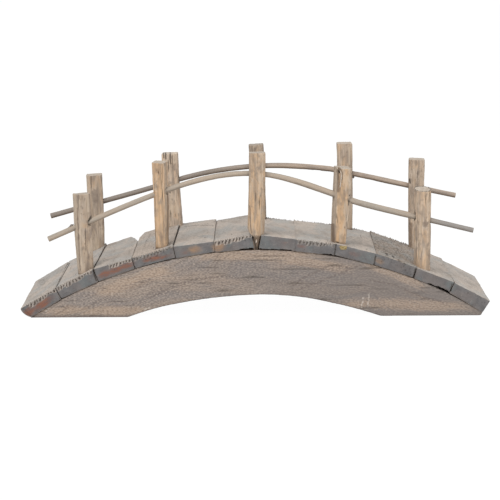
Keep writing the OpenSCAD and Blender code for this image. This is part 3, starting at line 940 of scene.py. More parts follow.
def mean_normal(mesh, towards):
    """Mean normal, by area, of the faces that point about one way."""
    total = Vector()
    for face in mesh.polygons:
        if face.normal.dot(towards) > FACES_ONE_WAY:
            total += face.normal * face.area
    return total.normalized()


def board_axes(mesh):
    """A board's directions: to its right, up from its top and to its front."""
    up = mean_normal(mesh, Vector((0, 0, 1)))
    side = up.cross(FRONT).normalized()
    return side, up, side.cross(up)


def timber(node, material, axes, voxel, soften, values, prepare=None):
    """A node remade in fine voxels and weathered; axes are its side, up and grain directions."""
    piece = node_copy(node, node + "_timber")
    low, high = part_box(node)
    if prepare:
        prepare(piece.data)
    fine = piece.modifiers.new("Voxels", "REMESH")
    fine.mode = "VOXEL"
    fine.voxel_size = voxel
    soft = piece.modifiers.new("Soften", "SMOOTH")
    soft.factor = 0.5
    soft.iterations = soften
    inputs = {
        "Centre": (low + high) / 2, "Turn": Matrix(axes).to_euler(), "Box Low": low, "Box High": high,
        "Check Width": 0.02, **values,
    }
    add_tree(piece, "Weathered timber", material, inputs)
    return settle(piece)


def seed_shift(number):
    """Moves each timber to another part of the noise."""
    return Vector((number * 37.0, number * 53.0, number * 211.0))


def paint(mesh, name, values):
    layer = mesh.attributes.new(name, "FLOAT", "POINT")
    layer.data.foreach_set("value", values.astype(np.float32))


def new_material(name):
    material = bpy.data.materials.new(name)
    material.use_nodes = True
    tree = material.node_tree
    shader = tree.nodes["Principled BSDF"]
    shader.inputs["Specular IOR Level"].default_value = SPECULAR
    return Graph(tree), shader


def finish_material(graph, shader, colour, rough, height, strength, distance):
    graph.feed(shader.inputs["Base Color"], colour)
    graph.feed(shader.inputs["Roughness"], rough)
    bump = {"Strength": strength, "Distance": distance, "Height": height}
    graph.feed(shader.inputs["Normal"], graph.add("ShaderNodeBump", None, bump))


def deck_wood(colours):
    """Rough-sawn grey boards with slate-stained ends."""
    graph, shader = new_material("weathered_deck")
    grain = graph.attribute("grain")
    across, up, along = graph.parts(graph.attribute("facing"))
    corner = across.size() * 0.4
    end = (along.size() + corner).ease(0.55, 0.8)
    top = (up + corner).ease(0.45, 0.75)
    coarse = graph.share("coarse")
    mottle = graph.noise(grain, (15, 15, 24), 4.0, 0.6)
    tint = graph.noise(grain, (24, 24, 38), 2.0, 0.5, 0.5)
    speck = graph.noise(grain, (1.8, 1.8, 2.8), 2.0, 0.6)
    ripple = graph.noise(grain, (9, 9, 1.9), 2.0, 0.6)
    cloud = graph.noise(grain, (9, 9, 9), 3.0, 0.6)
    split = graph.noise(grain, (10, 1.7, 10), 3.0, 0.6, 0.4)
    ragged = (graph.noise(grain, (4.5, 4.5, 4.5), 3.0, 0.6) - 0.5) * 0.9
    rust, amber = (graph.share(name) * (1 + ragged * 1.4) for name in ("rust", "amber"))

    board = graph.lay(
        colours.deck_cool,
        (tint.ease(0.35, 0.65), colours.deck_pale),
        (mottle.ease(0.48, 0.7) * 0.85, colours.deck_shade),
        (ripple.ease(0.5, 0.72) * 0.55, colours.deck_shade),
        (coarse * tint.ease(0.35, 0.6) * 0.5, colours.arch_tan),
        (speck.ease(0.5, 0.68) * (0.36 + 0.7 * coarse), colours.deck_dark),
        (speck.ease(0.48, 0.3) * (0.35 + 0.6 * coarse), colours.deck_light),
    )
    under = graph.mix(mottle.ease(0.3, 0.7), colours.arch_grey, colours.arch_brown)
    board = graph.toned(graph.mix(top, under, board))

    red = graph.lay(
        colours.rust,
        (split.ease(0.42, 0.62) * 0.6, colours.slate_dark),
        (split.ease(0.42, 0.26) * 0.4, colours.amber_wood),
    )
    orange = graph.mix(split.ease(0.45, 0.66) * 0.55, colours.amber_wood, colours.slate_warm)
    slate = graph.lay(
        colours.slate_dark,
        (cloud.ease(0.3, 0.7), colours.slate),
        (graph.noise(grain, (26, 26, 26), 2.0).ease(0.45, 0.7) * 0.4, colours.slate_warm),
        (graph.noise(grain, (15, 15, 15), 2.0).ease(0.48, 0.66) * 0.5, colours.slate_teal),
        (speck.ease(0.55, 0.75) * 0.25, colours.deck_dark),
        (speck.ease(0.42, 0.28) * 0.25, colours.deck_shade),
        (rust.ease(0.12, 0.8) * 0.95, red),
        (amber.ease(0.12, 0.8) * 0.95, orange),
    )
    colour = graph.lay(
        board,
        (end, slate),
        (graph.share("edge").ease(0.25, 0.7) * top * 0.15, colours.deck_light),
        (graph.share("pit") * 0.75, colours.crack),
        (graph.share("check") * 0.6, colours.crack),
        (graph.share("fringe").ease(0.1, 0.8) * 0.75,
         graph.mix(cloud.ease(0.35, 0.6), colours.deck_shade, colours.deck_pale)),
        # Painted shade in the gaps between the saw teeth
        (graph.share("torn").ease(0.1, 0.75) * 0.9, colours.arch_dark),
        # Crack colour, which along the seams between boards is painted shade in the gaps
        (graph.share("crack") * 0.85, colours.crack),
        (graph.share("line") * speck.ease(0.3, 0.6) * 0.7, colours.deck_dark),
    )
    height = speck * (0.4 + coarse) + ripple * 0.3
    finish_material(graph, shader, colour, 0.82 + 0.15 * speck, height, 0.6, 0.6 * MM)


def post_wood(colours):
    """Split sticks: warm fibres, grey weathering and dark checks."""
    graph, shader = new_material("weathered_post")
    grain = graph.attribute("grain")
    up = graph.parts(graph.attribute("facing"))[2]
    streak = graph.noise(grain, (1.7, 1.7, 38), 3.0, 0.6, 0.3)
    broad = graph.noise(grain, (5.0, 5.0, 40), 3.0, 0.6, 0.4)
    cloud = graph.noise(grain, (9, 9, 20), 3.0, 0.6, 0.4)
    blot = graph.noise(grain, (5.5, 5.5, 9), 2.0, 0.55)
    speck = graph.noise(grain, (1.3, 1.3, 4.0), 2.0, 0.6)
    haze = graph.noise(grain, (4.5, 4.5, 24), 2.0, 0.5, 0.5)
    warm = (graph.share("warm") + (cloud - 0.5) * 2.2).ease(0.1, 0.9)
    grey = (graph.share("grey") + (broad - 0.5) * 1.8 + (cloud - 0.5) * 1.4).ease(0.1, 0.95)
    stain = (graph.share("stain") + (cloud - 0.5) * 1.2).ease(0.2, 0.9)
    knot = (graph.share("knot") + (blot - 0.5) * 3.0).ease(0.35, 1.2)
    wood = graph.lay(
        colours.post_tan,
        (warm, colours.post_orange),
        (broad.ease(0.48, 0.68) * 0.75, colours.post_brown),
        (grey * 0.9, colours.post_grey),
        (haze.ease(0.48, 0.6) * (0.7 - 0.35 * warm), colours.post_shade),
        (haze.ease(0.46, 0.34) * 0.5, colours.post_pale),
        (blot.ease(0.52, 0.66) * (0.75 - 0.35 * warm), colours.post_shade),
        (streak.ease(0.5, 0.7) * 0.28, colours.post_dark),
        (streak.ease(0.48, 0.3) * 0.25, colours.post_pale),
        (speck.ease(0.62, 0.74) * 0.6, colours.post_dark),
        (up.ease(0.5, 0.85), graph.mix(speck.ease(0.35, 0.65), colours.post_sawn, colours.post_grey)),
        (graph.share("edge").ease(0.3, 0.7) * 0.3, colours.post_pale),
        # Darker towards the foot, and on the centre post the tongue, partly painted shade in its notch
        (stain * 0.9, colours.post_dark),
        (knot * 0.5, colours.post_dark),
        # Painted shade round the bore, where the rail passes through
        (graph.share("bore") * 0.9, colours.crack),
        (graph.share("check") * 0.8, colours.crack),
        (graph.share("pale") * 0.6, colours.post_pale),
        # Dark lines, one of them painted shade along the second front post's right edge
        (graph.share("line") * speck.ease(0.1, 0.5) * 0.85, colours.post_dark),
        (graph.share("crack") * 0.85, colours.crack),
    )
    height = streak * 0.7 + speck * 0.3
    finish_material(graph, shader, graph.toned(wood), 0.7 + 0.2 * streak, height, 0.6, 0.5 * MM)


def arch_wood(colours):
    """Sawn arch planks: wavy brown grain under a fine pale fuzz, darker along the lower edge on the left,
    with painted shade on the faces that point down.
    """
    graph, shader = new_material("weathered_arch")
    grain = graph.attribute("grain")
    across, up, along = graph.parts(grain)
    face_up = graph.parts(graph.attribute("facing"))[1]
    x, y, z = graph.parts(graph.place())
    wave = graph.noise(grain, (90, 50, 85), 1.0) * 45 + along * along / 1050
    bent = graph.join(across, up + wave, along)
    bands = graph.noise(bent, (40, 2.2, 46), 3.0, 0.6)
    broad = graph.noise(bent, (40, 12, 90), 3.0, 0.55)
    rings = (graph.noise(bent, (60, 6.0, 170), 1.0) - 0.5).size().ease(0.028, 0.004)
    fuzz = graph.noise(grain, (1.1, 1.1, 2.5), 1.0, 0.5)
    cloud = graph.noise(grain, (40, 20, 48), 3.0, 0.55)
    tan = (graph.share("tan") + (bands - 0.5) * 1.6 + (cloud - 0.5) * 1.0).ease(0.1, 0.9)
    wood = graph.lay(
        colours.arch_grey,
        (broad.ease(0.36, 0.64), colours.arch_brown),
        (cloud.ease(0.48, 0.72) * 0.4, colours.arch_tan),
        (tan * 0.85, colours.arch_tan),
        (bands.ease(0.52, 0.72) * 0.45, colours.arch_dark),
        (bands.ease(0.46, 0.3) * 0.3, colours.arch_pale),
        (rings * cloud.ease(0.6, 0.4) * 0.4, colours.arch_dark),
        (fuzz.ease(0.5, 0.68) * 0.6, colours.arch_dark),
        (fuzz.ease(0.5, 0.32) * 0.6, colours.arch_pale),
    )

    # Grey that grows to the right, a dark lower edge on the left, scratches, and painted shade on the
    # faces that point down
    wood = graph.lay(
        wood,
        (x.ease(-150.0, 200.0) * (1 - tan * 0.7) * 0.72, colours.arch_shade),
        (x.ease(-120.0, -160.0) * z.ease(3.8, 1.2) * 0.65, colours.arch_dark),
        (graph.share("pale") * fuzz.ease(0.7, 0.45) * 0.8, colours.deck_light),
        (graph.share("line") * fuzz.ease(0.3, 0.6) * 0.7, colours.arch_dark),
        # Painted shade: faces that point down are darker
        (face_up.ease(-0.12, -0.6) * 0.65, colours.arch_dark),
        (graph.share("check") * 0.5, colours.crack),
    )
    height = fuzz * 0.6 + bands * 0.4
    finish_material(graph, shader, wood, 0.8 + 0.15 * fuzz, height, 0.6, 0.6 * MM)


def cane(name, colours, pale, dark, grey, grey_from, grey_to, under):
    """A whittled cane with long fibres and painted shade on its underside, greyed from one place on to
    another.
    """
    graph, shader = new_material(name)
    grain = graph.attribute("grain")
    up = graph.parts(graph.attribute("facing"))[2]
    x = graph.parts(graph.place())[0]
    streak = graph.noise(grain, (1.6, 1.6, 60), 4.0, 0.65)
    wood = graph.lay(
        getattr(colours, pale),
        (graph.noise(grain, (6, 6, 42), 3.0, 0.55).ease(0.35, 0.68), getattr(colours, dark)),
        (x.ease(grey_from, grey_to) * 0.85, getattr(colours, grey)),
        (streak.ease(0.52, 0.74) * 0.3, colours.post_dark),
        # Painted shade on the underside, as strong as under says
        (up.ease(0.05, -0.75) * under, colours.post_dark),
        (graph.share("knot") * 0.35, colours.post_dark),
    )
    finish_material(graph, shader, wood, 0.6 + 0.25 * streak, streak, 0.5, 0.4 * MM)


def spotted(name, colours, first, second, size, detail, low, high, rough, rougher, depth):
    """A finish in two tones, such as torn fibres or dried glue."""
    graph, shader = new_material(name)
    spot = graph.noise(graph.place(), (size, size, size), detail)
    colour = graph.mix(spot.ease(low, high), getattr(colours, first), getattr(colours, second))
    finish_material(graph, shader, colour, rough + rougher * spot, spot, 0.3, depth * MM)


def colour_property(name, description, value):
    label = name.replace("_", " ").capitalize()
    return bpy.props.FloatVectorProperty(name=label, description=description, subtype="COLOR", size=3,
                                         min=0.0, max=1.0, default=value)


class BridgeColours(bpy.types.PropertyGroup):
    """Colours of the timber, in linear light."""

    __annotations__ = {name: colour_property(name, *entry) for name, entry in COLOURS.items()}


class BridgeSizes(bpy.types.PropertyGroup):
    """Sizes of the wear on the timber."""

    board_voxel: bpy.props.FloatProperty(
        name="Board grain", description="Voxel size of the deck boards", default=0.8 * MM, unit="LENGTH")
    post_voxel: bpy.props.FloatProperty(
        name="Post grain", description="Voxel size of the posts", default=0.55 * MM, unit="LENGTH")
    arch_voxel: bpy.props.FloatProperty(
        name="Arch grain", description="Voxel size of the arch planks", default=1.1 * MM, unit="LENGTH")
    tear_pitch: bpy.props.FloatProperty(
        name="Tear pitch", description="Spacing of the saw's tear-out, in millimetres", default=3.6)
    floor_side: bpy.props.FloatProperty(
        name="Floor side", description="Side of the floor", default=60.0, unit="LENGTH")


class BridgeOperator(bpy.types.Operator):
    """Shared access to the bridge's settings."""

    bl_idname = "moonbridge.base"
    bl_label = "Moon bridge base"

    @property
    def colours(self):
        return bpy.context.scene.bridge_colours

    @property
    def sizes(self):
        return bpy.context.scene.bridge_sizes


class MOONBRIDGE_OT_trees(BridgeOperator):
    """Builds the geometry trees and the finishes"""

    bl_idname = "moonbridge.trees"
    bl_label = "Trees and finishes"

    def execute(self, context):
        timber_tree()
        cane_tree()
        fringe_tree()
        for finish in (deck_wood, post_wood, arch_wood):
            finish(self.colours)
        for name, *entry in CANES:
            cane(name, self.colours, *entry)
        for name, *entry in SPOTTED:
            spotted(name, self.colours, *entry)
        return {"FINISHED"}


class MOONBRIDGE_OT_stringers(BridgeOperator):
    """Makes the two arch planks"""

    bl_idname = "moonbridge.stringers"
    bl_label = "Arch planks"

    def execute(self, context):
        axes = ((0, 1, 0), (0, 0, 1), (1, 0, 0))
        for number, node in enumerate(STRINGERS):
            piece = timber(node, "weathered_arch", axes, self.sizes.arch_voxel, 2, {
                "Shift": seed_shift(number),
                "Fibre Pitch": 1.5, "Fibre Depth": 0.4, "Lump Size": 20.0, "Lump Depth": 0.6,
                "Check Depth": 0.4, "Wear": 0.4, "Spare Top": 0.95, "Spare Bottom": 1.0,
                "Tear Pitch": 1.0, "Tone": 1.0,
            })
            self.mark(piece.data, node)
            self.sag(piece.data)
            hand_over(piece, "arch_wood", node)
        return {"FINISHED"}

    def mark(self, mesh, node):
        """Marks the front plank's tan patches."""
        points = vertices(mesh) / MM
        x, z = points[:, 0], points[:, 2]
        tan = np.zeros(len(points))
        for at, level, half, tall, slope in ARCH_TAN if node == STRINGERS[0] else ():
            off = z - level - slope * (x - at)
            tan = np.maximum(tan, np.exp(-(((x - at) / half) ** 4) - (off / tall) ** 2))
        paint(mesh, "tan", tan)

    def sag(self, mesh):
        """Lowers the underside where it sags, and draws the right tip out."""
        points = vertices(mesh) / MM
        x, z = points[:, 0], points[:, 2]
        rows = (x - x.min()).astype(int)
        under = np.full(rows.max() + 1, np.inf)
        np.minimum.at(under, rows, z)
        near = np.clip(1 - (z - under[rows]) / SAG_TALL, 0, 1)
        for at, half in SAGS:
            points[:, 2] -= SAG * near * np.exp(-(((x - at) / half) ** 4))
        points[:, 0] += TIP_OUT * np.clip((x - TIP_FROM) / (x.max() - TIP_FROM), 0, 1)
        move_to(mesh, points * MM)


class MOONBRIDGE_OT_boards(BridgeOperator):
    """Makes the deck boards, with their torn edges and stained ends"""

    bl_idname = "moonbridge.boards"
    bl_label = "Deck boards"

    def execute(self, context):
        for number, node in enumerate(BOARDS):
            mesh = frame["nodes"][node].data
            axes = board_axes(mesh)
            side, up, along = (np.array(axis) for axis in axes)
            low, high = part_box(node)
            centre = np.array((low + high) / 2)
            points = (vertices(mesh) - centre) / MM
            top = float((points @ up).max())
            tear = TORN.get(node, (0, 0, 0))
            lift = LIFTED.get(node, (0, 0, 0))
            level, slope = self.lower_edge(points, side, up, along)
            piece = timber(node, "weathered_deck", axes, self.sizes.board_voxel, 1, {
                "Shift": seed_shift(number + BOARD_SEED),
                "Fibre Pitch": 1.8, "Fibre Depth": 0.35, "Lump Size": 17.0, "Lump Depth": 0.7,
                "Check Depth": 0.3, "Check Width": 0.003, "Pit Depth": PIT_DEPTH * PITTED.get(node, 0.0),
                "Coarse": PITTED.get(node, 0.0), "Swell": CLOSED.get(node, 0.0), "Wear": 0.35,
                "Spare Side": 0.95, "Spare Bottom": 1.0,
                "Top Level": top, "Front Level": float((points @ along).max()),
                "Bottom Level": level, "Bottom Slope": slope,
                "Tear From": float(tear[0]), "Tear To": float(tear[1]), "Tear Dark": float(tear[2]),
                "Tear Depth": TEAR_DEPTH if node in TORN else 0.0, "Tear Pitch": self.sizes.tear_pitch,
                "Lift From": float(lift[0]), "Lift To": float(lift[1]), "Lift": float(lift[2]),
                "Tone": BOARD_TONE.get(node, 1.0),
            })
            self.slide(piece.data, SEAMS[number:number + 2], BROKEN.get(node), side)
            if node == BOARDS[0]:
                self.round_tip(piece.data, mesh, up)
            worn = (vertices(piece.data) - centre) / MM
            self.stain(piece.data, low, top - worn @ up)
            self.lift(piece.data, RAISED.get(node, NOT_RAISED), up, side)
            hand_over(piece, "deck_wood", node)
        return {"FINISHED"}

    def lower_edge(self, points, side, up, along):
        """Level of a board's front lower edge at its middle, and how it slopes from left to right."""
        front = points[points @ along > FRONT_EDGE]
        low = front[front @ up < (front @ up).min() + LOWER_EDGE]
        left, right = low[np.argmin(low @ side)], low[np.argmax(low @ side)]
        slope = (right - left) @ up / max((right - left) @ side, MM)
        return float(left @ up - slope * (left @ side)), float(slope)

    def slide(self, mesh, seams, broken, side):
        """Slides a board's left and right seams along it, in its own plane, and breaks its corner off."""
        points = vertices(mesh)
        across = spread(points @ side)
        deep = spread(points[:, 1])
        (front_left, rear_left), (front_right, rear_right) = seams
        shift = self.between((front_left, front_right, rear_left, rear_right), across, deep)
        if broken:
            start, lost = broken
            shift -= np.clip((deep - start) / (1 - start), 0, 1) * across ** 2 * lost
        move_to(mesh, points + (shift * MM)[:, None] * side)

    def lift(self, mesh, corners, up, side):
        """Raises the corners of a board's top and drops the bottom of its right end."""
        points = vertices(mesh)
        across = spread(points @ side)
        level = spread(points @ up)
        rise = self.between(corners[:4], across, spread(points[:, 1])) * level
        rise -= corners[4] * across ** 3 * (1 - level)
        move_to(mesh, points + (rise * MM)[:, None] * up)

    def between(self, corners, across, deep):
        """Values between those at the front left, front right, rear left and rear right corners."""
        front_left, front_right, rear_left, rear_right = corners
        front = front_left + (front_right - front_left) * across
        rear = rear_left + (rear_right - rear_left) * across
        return front + (rear - front) * deep

    def round_tip(self, mesh, solid, up):
        """Swells the deck's left end cut and rounds it towards the front and the top."""
        cut = np.array(mean_normal(solid, Vector((-1, 0, -1)).normalized()))
        solid_points = vertices(solid)
        points = vertices(mesh)
        near = (solid_points @ cut).max() - points @ cut
        share = points[:, 2] / solid_points[solid_points[:, 0].argmin(), 2]
        swell = np.clip(4 * share * (1 - share), 0, 1) * np.clip(1 - near / TIP_DEEP, 0, 1)
        points += (swell * TIP_SWELL)[:, None] * cut
        for other, radius in ((np.array(FRONT), TIP_FRONT), (up, TIP_TOP)):
            over = []
            for way in (cut, other):
                deep = np.clip((solid_points @ way).max() - points @ way, 0, None)
                over.append(np.clip(radius - deep, 0, None))
            size = np.hypot(*over)
            inward = np.clip(size - radius, 0, None) / np.maximum(size, MERGE)
            points -= (over[0] * inward)[:, None] * cut + (over[1] * inward)[:, None] * other
        move_to(mesh, points)

    def stain(self, mesh, low, depth):
        """Marks the bare patches on a board's stained front end; depth is measured from its top."""
        points = vertices(mesh) / MM
        at_front = points[:, 1] < low.y / MM + STAIN_DEEP
        for kind in ("rust", "amber"):
            amount = np.zeros(len(points))
            for name, x, half, middle, tall, strong in BARE:
                if name == kind:
                    spot = ((points[:, 0] - x) / half) ** 2 + ((depth - middle) / tall) ** 2
                    amount = np.maximum(amount, np.exp(-spot) * strong)
            paint(mesh, kind, amount * at_front)


class MOONBRIDGE_OT_posts(BridgeOperator):
    """Makes the ten split posts"""

    bl_idname = "moonbridge.posts"
    bl_label = "Posts"

    def execute(self, context):
        for number, (node, look) in enumerate(POSTS.items()):
            turn = math.radians(look["turn"])
            low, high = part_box(node)
            axes = (
                (math.cos(turn), math.sin(turn), 0),
                (-math.sin(turn), math.cos(turn), 0),
                (0, 0, 1),
            )
            values = {
                "Shift": seed_shift(number + POST_SEED),
                "Fibre Pitch": 1.3, "Fibre Depth": 0.5, "Lump Size": 9.0, "Lump Depth": 0.7,
                "Check Depth": 0.7, "Check Width": 0.007, "Wear": 0.6,
                "Tear Pitch": 1.0,
                "Box Low": low - Vector((0, 0, SEAT)),
                "Box High": high + Vector((0, 0, look.get("slope", 0.0) * MM)),
                "Tone": look["tone"], "Warm": look["warm"], "Grey": look["grey"],
                "Grey Left": look.get("left", 0.0), "Grey Right": look.get("right", 0.0),
            }
            piece = timber(node, "weathered_post", axes, self.sizes.post_voxel, 8, values,
                           lambda mesh: self.shape(mesh, node, look))
            if node == NOTCHED:
                self.taper(piece.data)
            for swollen in SWOLLEN:
                if node == swollen[0]:
                    self.swell(piece.data, *swollen)
            self.stain(piece.data, node)
            hand_over(piece, "post_wood", node)
        return {"FINISHED"}

    def shape(self, mesh, node, look):
        """Seats the foot, slopes the sawn top and closes the left edge over the bore."""
        low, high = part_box(node)
        foot, top = set(), set()
        for face in mesh.polygons:
            if face.normal.z < -LEVEL and face.center.z < low.z + FOOT_PART * (high.z - low.z):
                foot.update(face.vertices)
            if face.normal.z > LEVEL and face.center.z > high.z - TOP_PART * (high.z - low.z):
                top.update(face.vertices)
        for index in foot:
            mesh.vertices[index].co.z -= SEAT
        for index in top:
            place = mesh.vertices[index].co
            place.z += look.get("slope", 0.0) * MM * (place.y - low.y) / (high.y - low.y)
        if "closed" in look:
            self.close_edge(mesh)

    def close_edge(self, mesh):
        """Fills the left half, past the bore, with a block; the fine voxels join it to the post."""
        points = vertices(mesh)
        rail = rail_rings("front_rail").mean(axis=1)
        bore = rail[np.argmin(np.abs(rail[:, 0] - points[:, 0].min()))]
        level = np.abs(points[:, 2] - bore[2]) < EDGE_BLOCK
        near = level & (points[:, 0] < (points[level, 0].min() + points[level, 0].max()) / 2)
        work = bmesh.new()
        work.from_mesh(mesh)
        added = [work.verts.new(place) for place in points[near]]
        bmesh.ops.convex_hull(work, input=added)
        bmesh.ops.delete(work, geom=[vertex for vertex in added if not vertex.link_faces], context="VERTS")
        work.to_mesh(mesh)
        work.free()

    def taper(self, mesh):
        """Narrows the centre post's shoulders into its notch."""
        points = vertices(mesh)
        above = np.clip(points[:, 2] - SHOULDER, 0, None)
        middle = (points[:, 0].min() + points[:, 0].max()) / 2
        middle = middle + TONGUE_SHIFT * np.clip(1 - above / TONGUE_HALF, 0, 1)
        half = TONGUE_HALF + above * TAPER
        points[:, 0] = middle + np.clip(points[:, 0] - middle, -half, half)
        move_to(mesh, points)

    def swell(self, mesh, node, way, foot, bore, top, grey):
        """Moves a post's left or right half outwards, most at its edge."""
        points = vertices(mesh)
        x, z = points[:, 0], points[:, 2]
        rail = rail_rings(node.split("_")[0] + "_rail").mean(axis=1)
        level = np.interp(x.max(), rail[:, 0], rail[:, 2])
        steps = np.linspace(z.min(), z.max(), SWELL_ROWS)
        rows = [x[np.abs(z - step) < SWELL_ROW] for step in steps]
        left = np.interp(z, steps, [row.min() for row in rows])
        right = np.interp(z, steps, [row.max() for row in rows])
        share = np.clip(way * (2 * x - left - right) / (right - left), 0, 1)
        points[:, 0] += way * share * np.interp(z, (z.min(), level, z.max()), (foot, bore, top)) * MM
        move_to(mesh, points)
        layer = mesh.attributes["grey"].data
        before = np.empty(len(points), dtype=np.float32)
        layer.foreach_get("value", before)
        layer.foreach_set("value", before + (grey * np.clip(share * 2 - 0.6, 0, 1)).astype(np.float32))

    def stain(self, mesh, node):
        """Darkens the foot, or the whole of the centre post's tongue, partly as painted shade in its
        notch; paints shade round the bore, and marks any knot.
        """
        points = vertices(mesh)
        end = points[:, 2].min() + FOOT_DARKENING
        reach = FOOT_DARKENING
        if node == NOTCHED:
            end = SHOULDER + TONGUE_STAIN_AND_SHADE / 2
            reach = TONGUE_STAIN_AND_SHADE
        # The stain attribute darkens the foot; on the centre post, the tongue, partly as painted shade in
        # its notch
        paint(mesh, "stain", np.clip((end - points[:, 2]) / reach, 0, 1))
        rings = rail_rings(node.split("_")[0] + "_rail")
        middle = rings.mean(axis=1)
        line = [np.interp(points[:, 0], middle[:, 0], middle[:, axis]) for axis in (1, 2)]
        away = np.hypot(points[:, 1] - line[0], points[:, 2] - line[1])
        # Painted shade round the bore, where the rail passes through
        sides = POSTS[node].get("bore", (0.3, 0.3))
        amount = np.where(points[:, 0] < points[:, 0].mean(), *sides)
        paint(mesh, "bore", np.clip((BORE_RIM - away) / MM, 0, 1) * amount)
        level = points[:, 2] - line[1]
        paint(mesh, "knot", np.exp(-((level / KNOT_BAND) ** 2)) * POSTS[node].get("knot", 0.0))


class MOONBRIDGE_OT_rails(BridgeOperator):
    """Makes the bent cane handrails along the CAD rails' centre lines"""

    bl_idname = "moonbridge.rails"
    bl_label = "Handrails"

    def execute(self, context):
        for number, (node, material) in enumerate(RAILS.items()):
            points = rail_rings(node)
            middle = points.mean(axis=1)
            radius = np.linalg.norm(points - middle[:, None], axis=2).mean(axis=1)
            curve = bpy.data.curves.new(node + "_line", "CURVE")
            curve.dimensions = "3D"
            spline = curve.splines.new("POLY")
            spline.points.add(len(middle) - 1)
            for dot, place in zip(spline.points, middle):
                dot.co = (*place, 1)
            piece = new_object(node + "_cane", curve)
            add_tree(piece, "Whittled cane", material, {
                "Radius": float(radius[0]), "Thinner": float(1 - radius[-1] / radius[0]),
                "Step": RAIL_STEP, "Shift": RAIL_SHIFT * number,
            })
            piece = settle(piece)
            self.fit(piece.data, node, middle)
            hand_over(piece, "rail_cane", node)
        return {"FINISHED"}

    def fit(self, mesh, node, middle):
        """Raises and swells a rail along its length."""
        at, rise, swell = zip(*RAIL_FIT[node])
        points = vertices(mesh)
        x = points[:, 0] / MM
        for axis in (1, 2):
            line = np.interp(points[:, 0], middle[:, 0], middle[:, axis])
            points[:, axis] = line + (points[:, axis] - line) * (1 + np.interp(x, at, swell))
        points[:, 2] += np.interp(x, at, rise) * MM
        move_to(mesh, points)


def board_edge(node, rear=False):
    """The ends of a board's upper edge, at the front or the rear, and its side direction."""
    mesh = frame["nodes"][node].data
    side, up = board_axes(mesh)[:2]
    low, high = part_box(node)
    points = vertices(mesh)
    level = points @ np.array(up)
    edge = points[:, 1] > high.y - EDGE_NEAR if rear else points[:, 1] < low.y + EDGE_NEAR
    edge &= level > level[edge].max() - EDGE_DEEP
    ends = points[edge][np.argsort(points[edge] @ np.array(side))]
    rises = RAISED.get(node, NOT_RAISED)[2 if rear else 0:]
    left, right = (Vector(end) + up * rise * MM for end, rise in zip((ends[0], ends[-1]), rises))
    return left, right, (low + high) / 2, side


def fringe(name, places, closed, values):
    """Slivers along a line of places."""
    mesh = bpy.data.meshes.new(name)
    edges = [(index, index + 1) for index in range(len(places) - 1)]
    if closed:
        edges.append((len(places) - 1, 0))
    mesh.from_pydata(places, edges, [])
    piece = new_object(name, mesh)
    add_tree(piece, "Saw fringe", "sliver_wood", values)
    return settle(piece)


class MOONBRIDGE_OT_slivers(BridgeOperator):
    """Hangs saw slivers on the torn edges"""

    bl_idname = "moonbridge.slivers"
    bl_label = "Saw slivers"

    def execute(self, context):
        for number, (node, (first, last, dark)) in enumerate(TORN.items()):
            left, right, centre, side = board_edge(node)
            start, stop = [(end - centre).dot(side) / MM for end in (left, right)]
            shares = [(max(start, min(stop, at)) - start) / (stop - start) for at in (first, last)]
            places = [left.lerp(right, share) + SLIVER_INSET for share in shares]
            piece = fringe(node + "_slivers", places, False, {
                "Pitch": 2.4 * MM, "Tall": 3.6 * MM, "Thick": 0.6 * MM, "Lean": Vector((math.pi, 0, 0)),
                "Spread": 0.32, "Seed": number,
            })
            hand_over(piece, "deck_wood")
        for number, node in enumerate(FUZZY):
            left, right, centre, side = board_edge(node, rear=True)
            seams = SEAMS[BOARDS.index(node):][:2]
            places = [end + FUZZ_INSET + side * seam[1] * MM for end, seam in zip((left, right), seams)]
            piece = fringe(node + "_fuzz", places, False, {
                "Pitch": 1.5 * MM, "Tall": 1.9 * MM, "Thick": 0.8 * MM, "Lean": Vector((0, 0, 0)),
                "Spread": 0.5, "Seed": 40 + number,
            })
            hand_over(piece, "deck_wood")
        self.rim()
        return {"FINISHED"}

    def rim(self):
        """Fuzz round the sawn top of the round post."""
        points = vertices(bpy.data.objects[RIMMED + "_timber"].data)
        high = points[:, 2].max()
        cap = points[points[:, 2] > high - RIM_DEEP]
        centre = (cap.min(axis=0) + cap.max(axis=0)) / 2
        places = []
        for step in range(RIM_STEPS):
            angle = math.tau * step / RIM_STEPS
            outward = np.array((math.cos(angle), math.sin(angle), 0))
            reach = (cap - centre) @ outward
            farthest = np.argmax(reach + RIM_HIGH * (cap[:, 2] - centre[2]))
            places.append(Vector(cap[farthest] - outward * RIM_INSET))
        piece = fringe(RIMMED + "_rim", places, True, {
            "Pitch": 1.6 * MM, "Tall": 1.6 * MM, "Thick": 0.7 * MM, "Lean": Vector((0, 0, 0)),
            "Spread": 0.9, "Seed": 60,
        })
        hand_over(piece, "post_wood")


def view_ray(pixel):
    """The way from the camera through a pixel of the main view."""
    middle = IMAGE_SIDE / 2
    view = Vector(((pixel[0] - middle) / FOCAL, (middle - pixel[1]) / FOCAL, -1))
    return (camera_matrix().to_3x3() @ view).normalized()


def seen_at(piece, pixel):
    """Where the ray through a pixel meets a piece, and the way the surface faces there."""
    graph = bpy.context.evaluated_depsgraph_get()
    hit, place, normal, face = piece.ray_cast(CAMERA_PLACE, view_ray(pixel), depsgraph=graph)
    if not hit:
        raise RuntimeError(f"{piece.name} isn't at pixel {pixel}")
    return place, normal


def smooth_object(work, name, material):
    """Ends a bmesh as a smooth object with one finish."""
    mesh = bpy.data.meshes.new(name)
    work.to_mesh(mesh)
    work.free()
    mesh.materials.append(bpy.data.materials[material])
    mesh.shade_smooth()
    return new_object(name, mesh)


